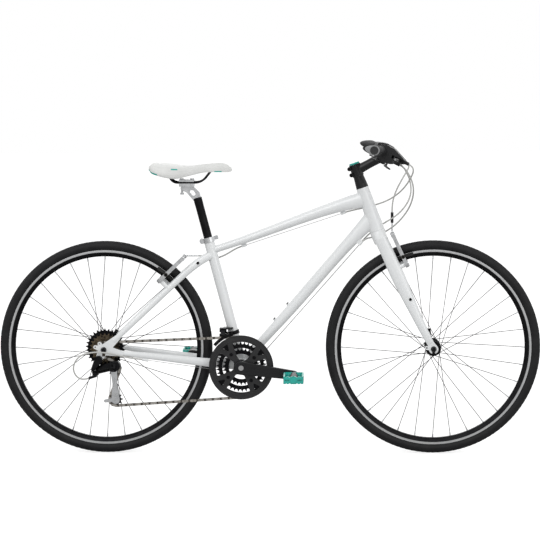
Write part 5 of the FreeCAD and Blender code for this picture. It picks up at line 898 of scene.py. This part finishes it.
# The channel down the crown: its two ends, the length they fade over and its half width in millimetres,
# then its depth and the level that it stays above in metres
CHANNEL_TAIL, CHANNEL_NOSE, CHANNEL_FADE, CHANNEL_HALF = -352.0, -150.0, 40.0, 7.5
CHANNEL_DEPTH, CROWN_LOW = 0.0032, 0.918
# Coloured edges, in corners round from the crown and in metres along
SKIRT_EDGE, TAIL_EDGE, NOSE_EDGE = (3.45, 4.5), -0.349, (-0.172, -0.147)
SEAM_EDGE, SEAM_EDGE_LONG = (2.1, 2.3), (-0.306, -0.288)
# Thread: name, points round from the crown; then the rings left free at each end
SEAMS = (("", 17), ("_low", 21))
SEAM_FREE = 6
STITCH = (0.0018, 0.00045, 0.00045)
STITCH_STEP = 0.0045


def saddle_outline(x, half, low, top, rim):
    # From the crown down over the skirt, round its lip and across below, then the same on the other side
    drop = top - rim
    side = [(0.0, top), (half * 0.5, top - drop * 0.12), (half * 0.88, top - drop * 0.5),
            (half, (rim + low) / 2.0 + 4.5), (half * 0.97, low), (half * 0.82, low + 4.5), (half * 0.5, rim)]
    left = [mm(x, y, z) for y, z in side]
    right = [mm(x, -y, z) for y, z in reversed(side[1:])]
    return closed_line(left + [mm(x, 0.0, rim)] + right, SADDLE_STEPS)


def saddle_stations():
    # The table's rows with smooth rows between them
    first = open_line([Vector(row[:3]) for row in SADDLE], SADDLE_LONG_STEPS)
    rest = open_line([Vector((*row[3:], 0.0)) for row in SADDLE], SADDLE_LONG_STEPS)
    return [(a.x, a.y, a.z, b.x, b.y) for a, b in zip(first, rest)]


def faded(length):
    return max(0.0, min(1.0, length / CHANNEL_FADE))


def relieved(p):
    # A shallow channel down the middle of the crown
    if p.z <= CROWN_LOW:
        return p
    x, y = p.x * 1000.0, p.y * 1000.0
    along = faded(x - CHANNEL_TAIL) * faded(CHANNEL_NOSE - x)
    across = math.exp(-(y / CHANNEL_HALF) ** 2)
    return p - Vector((0.0, 0.0, CHANNEL_DEPTH * along * across))


def saddle_rings():
    rings = [[relieved(p) for p in saddle_outline(*row)] for row in saddle_stations()]
    for ring, step in ((rings[0], -1.0), (rings[-1], 1.0)):
        middle = sum(ring, Vector()) / len(ring)
        capped = []
        for share, out in SADDLE_CAPS:
            capped.append([middle + (p - middle) * share + Vector((step * out, 0.0, 0.0)) for p in ring])
        rings = list(reversed(capped)) + rings if step < 0 else rings + capped
    return rings


def trimmed(k, x):
    # The skirt's lower edge has a second colour at the tail and near the nose, the seam for a short way
    corner = min(k, SADDLE_CORNERS * SADDLE_STEPS - 1 - k) / SADDLE_STEPS
    if SKIRT_EDGE[0] < corner < SKIRT_EDGE[1]:
        return x < TAIL_EDGE or NOSE_EDGE[0] < x < NOSE_EDGE[1]
    return SEAM_EDGE[0] < corner < SEAM_EDGE[1] and SEAM_EDGE_LONG[0] < x < SEAM_EDGE_LONG[1]


def make_stitches(rings):
    # Two rows of thread on each side, beside the seam that runs round under the crown
    stitch = ball("stitch", STITCH)
    tree, keys = path_tree("stitch_row", saddle_cover)
    count = SADDLE_CORNERS * SADDLE_STEPS
    for level, at in SEAMS:
        for side, spot in (("right", count - at), ("left", at)):
            line = [ring[spot] for ring in rings[SEAM_FREE:-SEAM_FREE]]
            row = row_along("stitches_" + side + level, line, False, tree, keys, stitch, STITCH_STEP,
                            saddle_cover)
            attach(row, "seat-body")
    bpy.data.objects.remove(stitch)


def make_saddle():
    rings = saddle_rings()
    cushion = piece_from("saddle_pad", rings_mesh("saddle_pad", rings), saddle_cover, teal_paint)
    count = len(rings[0])
    for face in cushion.data.polygons:
        face.material_index = int(trimmed(face.index % count, face.center.x))
    make_stitches(rings)
    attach(cushion, "seat-body")
    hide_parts("saddle_cushion")


# Grips, in the bar's own directions: ahead, outward, below
BAR_END = mm(331.0, -300.0, 982.0)
BAR_TURN = Matrix(((0.8804, -0.1658, -0.4443), (-0.1673, -0.9852, 0.0360), (-0.4438, 0.0426, -0.8951)))
GRIP_BACK = Vector((-0.9686, 0.0, 0.2487))
GRIP_SIDE = Vector((0.2487, 0.0, 0.9686))
# Share of the length from the outer end; radius, reach to the rear and half height there, in millimetres
GRIP = ((0.0, 16.0, 38.0, 9.5), (0.25, 16.0, 37.0, 9.5), (0.5, 15.6, 28.0, 10.0), (0.78, 15.2, 18.0, 11.0),
        (0.94, 15.4, 15.4, 10.9), (1.0, 17.0, 17.0, 12.0))
GRIP_START, GRIP_LENGTH = 9.05, 118.95
GRIP_STEPS, GRIP_LONG_STEPS = 6, 20
GRIP_RIBS, RIB_DEPTH, RIBBED = 17, 0.022, (0.05, 0.9)
DIAGONAL = 0.7071
# The grey collar at the grip's outer end, in millimetres: level and share of its outline, then the outline
COLLAR = ((-0.6, 0.93), (0.0, 1.0), (7.8, 1.0), (8.8, 0.93))
COLLAR_STEPS, COLLAR_RADIUS = 48, 15.3
COLLAR_BEND, COLLAR_DRAW = 6.2, 23.3 / 9.1


def on_bar(p, side):
    q = BAR_END + BAR_TURN @ (p * 0.001)
    return Vector((q.x, q.y * -side, q.z))


def grip_ring(share, radius, reach, tip, side, swell):
    shoulder = radius * DIAGONAL
    half = [(-radius, 0.0), (-shoulder, shoulder), (0.0, radius), (reach * DIAGONAL, tip)]
    outline = half + [(reach, 0.0)] + [(u, -v) for u, v in reversed(half[1:])]
    middle = Vector((0.0, -GRIP_START - GRIP_LENGTH * share, 0.0))
    points = closed_line([GRIP_BACK * u + GRIP_SIDE * v for u, v in outline], GRIP_STEPS)
    return [on_bar(middle + p * swell, side) for p in points]


def grip_rings(side):
    # Ribs run round the grip, with shallow grooves between them
    rows = open_line([Vector(s[:3]) for s in GRIP], GRIP_LONG_STEPS)
    tips = open_line([Vector((s[3], 0.0, 0.0)) for s in GRIP], GRIP_LONG_STEPS)
    rings = []
    for a, b in zip(rows, tips):
        wave = math.sin(math.pi * GRIP_RIBS * a.x) ** 2
        groove = RIB_DEPTH * (1.0 - wave) if RIBBED[0] < a.x < RIBBED[1] else 0.0
        rings.append(grip_ring(a.x, a.y, a.z, b.x, side, 1.0 - groove))
    return rings


def collar_rings(side):
    # A short round collar drawn out to the rear, with eased edges
    rows = []
    for level, share in COLLAR:
        row = []
        for k in range(COLLAR_STEPS):
            a = math.tau * k / COLLAR_STEPS
            u, v = COLLAR_RADIUS * math.cos(a), COLLAR_RADIUS * math.sin(a)
            if u > COLLAR_BEND:
                u = COLLAR_BEND + (u - COLLAR_BEND) * COLLAR_DRAW
            row.append(on_bar(Vector((0.0, -level, 0.0)) + (GRIP_BACK * u + GRIP_SIDE * v) * share, side))
        rows.append(row)
    return rows


def make_grips():
    for label, side in SIDES:
        grip = piece_from(label + "_grip", rings_mesh(label + "_grip", grip_rings(side)), grip_rubber)
        name = label + "_grip_collar"
        collar = piece_from(name, rings_mesh(name, collar_rings(side)), grey_plastic)
        for piece, slot in ((grip, "grip_rubber"), (collar, "grey_plastic")):
            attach(piece, "steering-body")
            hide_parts("grips")


steering_cables()
frame_wires()
make_bolts()
make_welds()
make_guard_ridges()
make_tyres()
make_saddle()
make_grips()

# Stage
WHITE = (1.0, 1.0, 1.0, 1.0)
FLOOR_HALF = 30.0
FLOOR_GREYS = ((0.3, (0.55, 0.55, 0.55)), (0.7, (0.57, 0.57, 0.57)))
FLOOR_GLOW = 0.69                        # lifts the lit floor to white for the camera, and leaves the shadow
SKY_LIGHT, SKY_SEEN = 0.74, 1.0
BIKE_MIDDLE = (0.0, 0.0, 0.5)
EYE, AIM = Vector((0.205, -6.0, 1.159)), Vector((0.004, 0.0, 0.5914))
LENS, SENSOR, ROLL, FAR = 125.5, 36.0, -0.26, 100.0


def stage():
    h = FLOOR_HALF
    floor_mesh = bpy.data.meshes.new("floor")
    floor_mesh.from_pydata([(-h, -h, 0), (h, -h, 0), (h, h, 0), (-h, h, 0)], [], [(0, 1, 2, 3)])
    material, tree, shader, place = finish("pale_floor", specular=0.0)
    tint(tree, shader, grain(tree, place, scale=3.0), FLOOR_GREYS)
    shader.inputs["Roughness"].default_value = 1.0
    shader.inputs["Emission Color"].default_value = WHITE
    seen = add(tree, "ShaderNodeLightPath").outputs["Is Camera Ray"]
    level = add(tree, "ShaderNodeMapRange", {"Value": seen, "To Min": 0.0, "To Max": FLOOR_GLOW})
    tree.links.new(level.outputs["Result"], shader.inputs["Emission Strength"])
    floor = piece_from("floor", floor_mesh, material)


def sky():
    # White where it is seen or mirrored, a plain level where it lights the bike
    world = bpy.data.worlds.new("studio")
    bpy.context.scene.world = world
    world.use_nodes = True
    tree = world.node_tree
    back = tree.nodes["Background"]
    rays = add(tree, "ShaderNodeLightPath").outputs
    seen = calc(tree, "MAXIMUM", rays["Is Camera Ray"], rays["Is Glossy Ray"])
    seen = calc(tree, "MAXIMUM", seen, rays["Is Transmission Ray"])
    level = add(tree, "ShaderNodeMapRange", {"Value": seen, "To Min": SKY_LIGHT, "To Max": SKY_SEEN})
    back.inputs["Color"].default_value = WHITE
    tree.links.new(level.outputs["Result"], back.inputs["Strength"])


def softbox(name, at, size, power):
    data = bpy.data.lights.new(name, "AREA")
    data.shape = "RECTANGLE"
    data.size, data.size_y = size
    data.energy = power
    lamp = bpy.data.objects.new(name, data)
    lamp.location = at
    lamp.rotation_euler = (Vector(BIKE_MIDDLE) - Vector(at)).to_track_quat("-Z", "Y").to_euler()
    bpy.context.scene.collection.objects.link(lamp)


def camera():
    data = bpy.data.cameras.new("camera")
    data.sensor_width = SENSOR
    data.lens = LENS
    data.clip_end = FAR
    obj = bpy.data.objects.new("camera", data)
    obj.location = EYE
    level = Matrix.Rotation(math.radians(ROLL), 3, "Z")
    obj.rotation_euler = ((AIM - EYE).to_track_quat("-Z", "Y").to_matrix() @ level).to_euler()
    bpy.context.scene.collection.objects.link(obj)
    bpy.context.scene.camera = obj


stage()
sky()
softbox("key", (-1.5, -4.0, 4.0), (3.0, 3.0), 60.0)
softbox("fill", (3.0, -3.5, 2.0), (2.0, 3.0), 22.0)
softbox("back", (0.5, 4.5, 2.0), (3.0, 3.0), 24.0)
camera()
bpy.context.scene.view_settings.view_transform = "Standard"
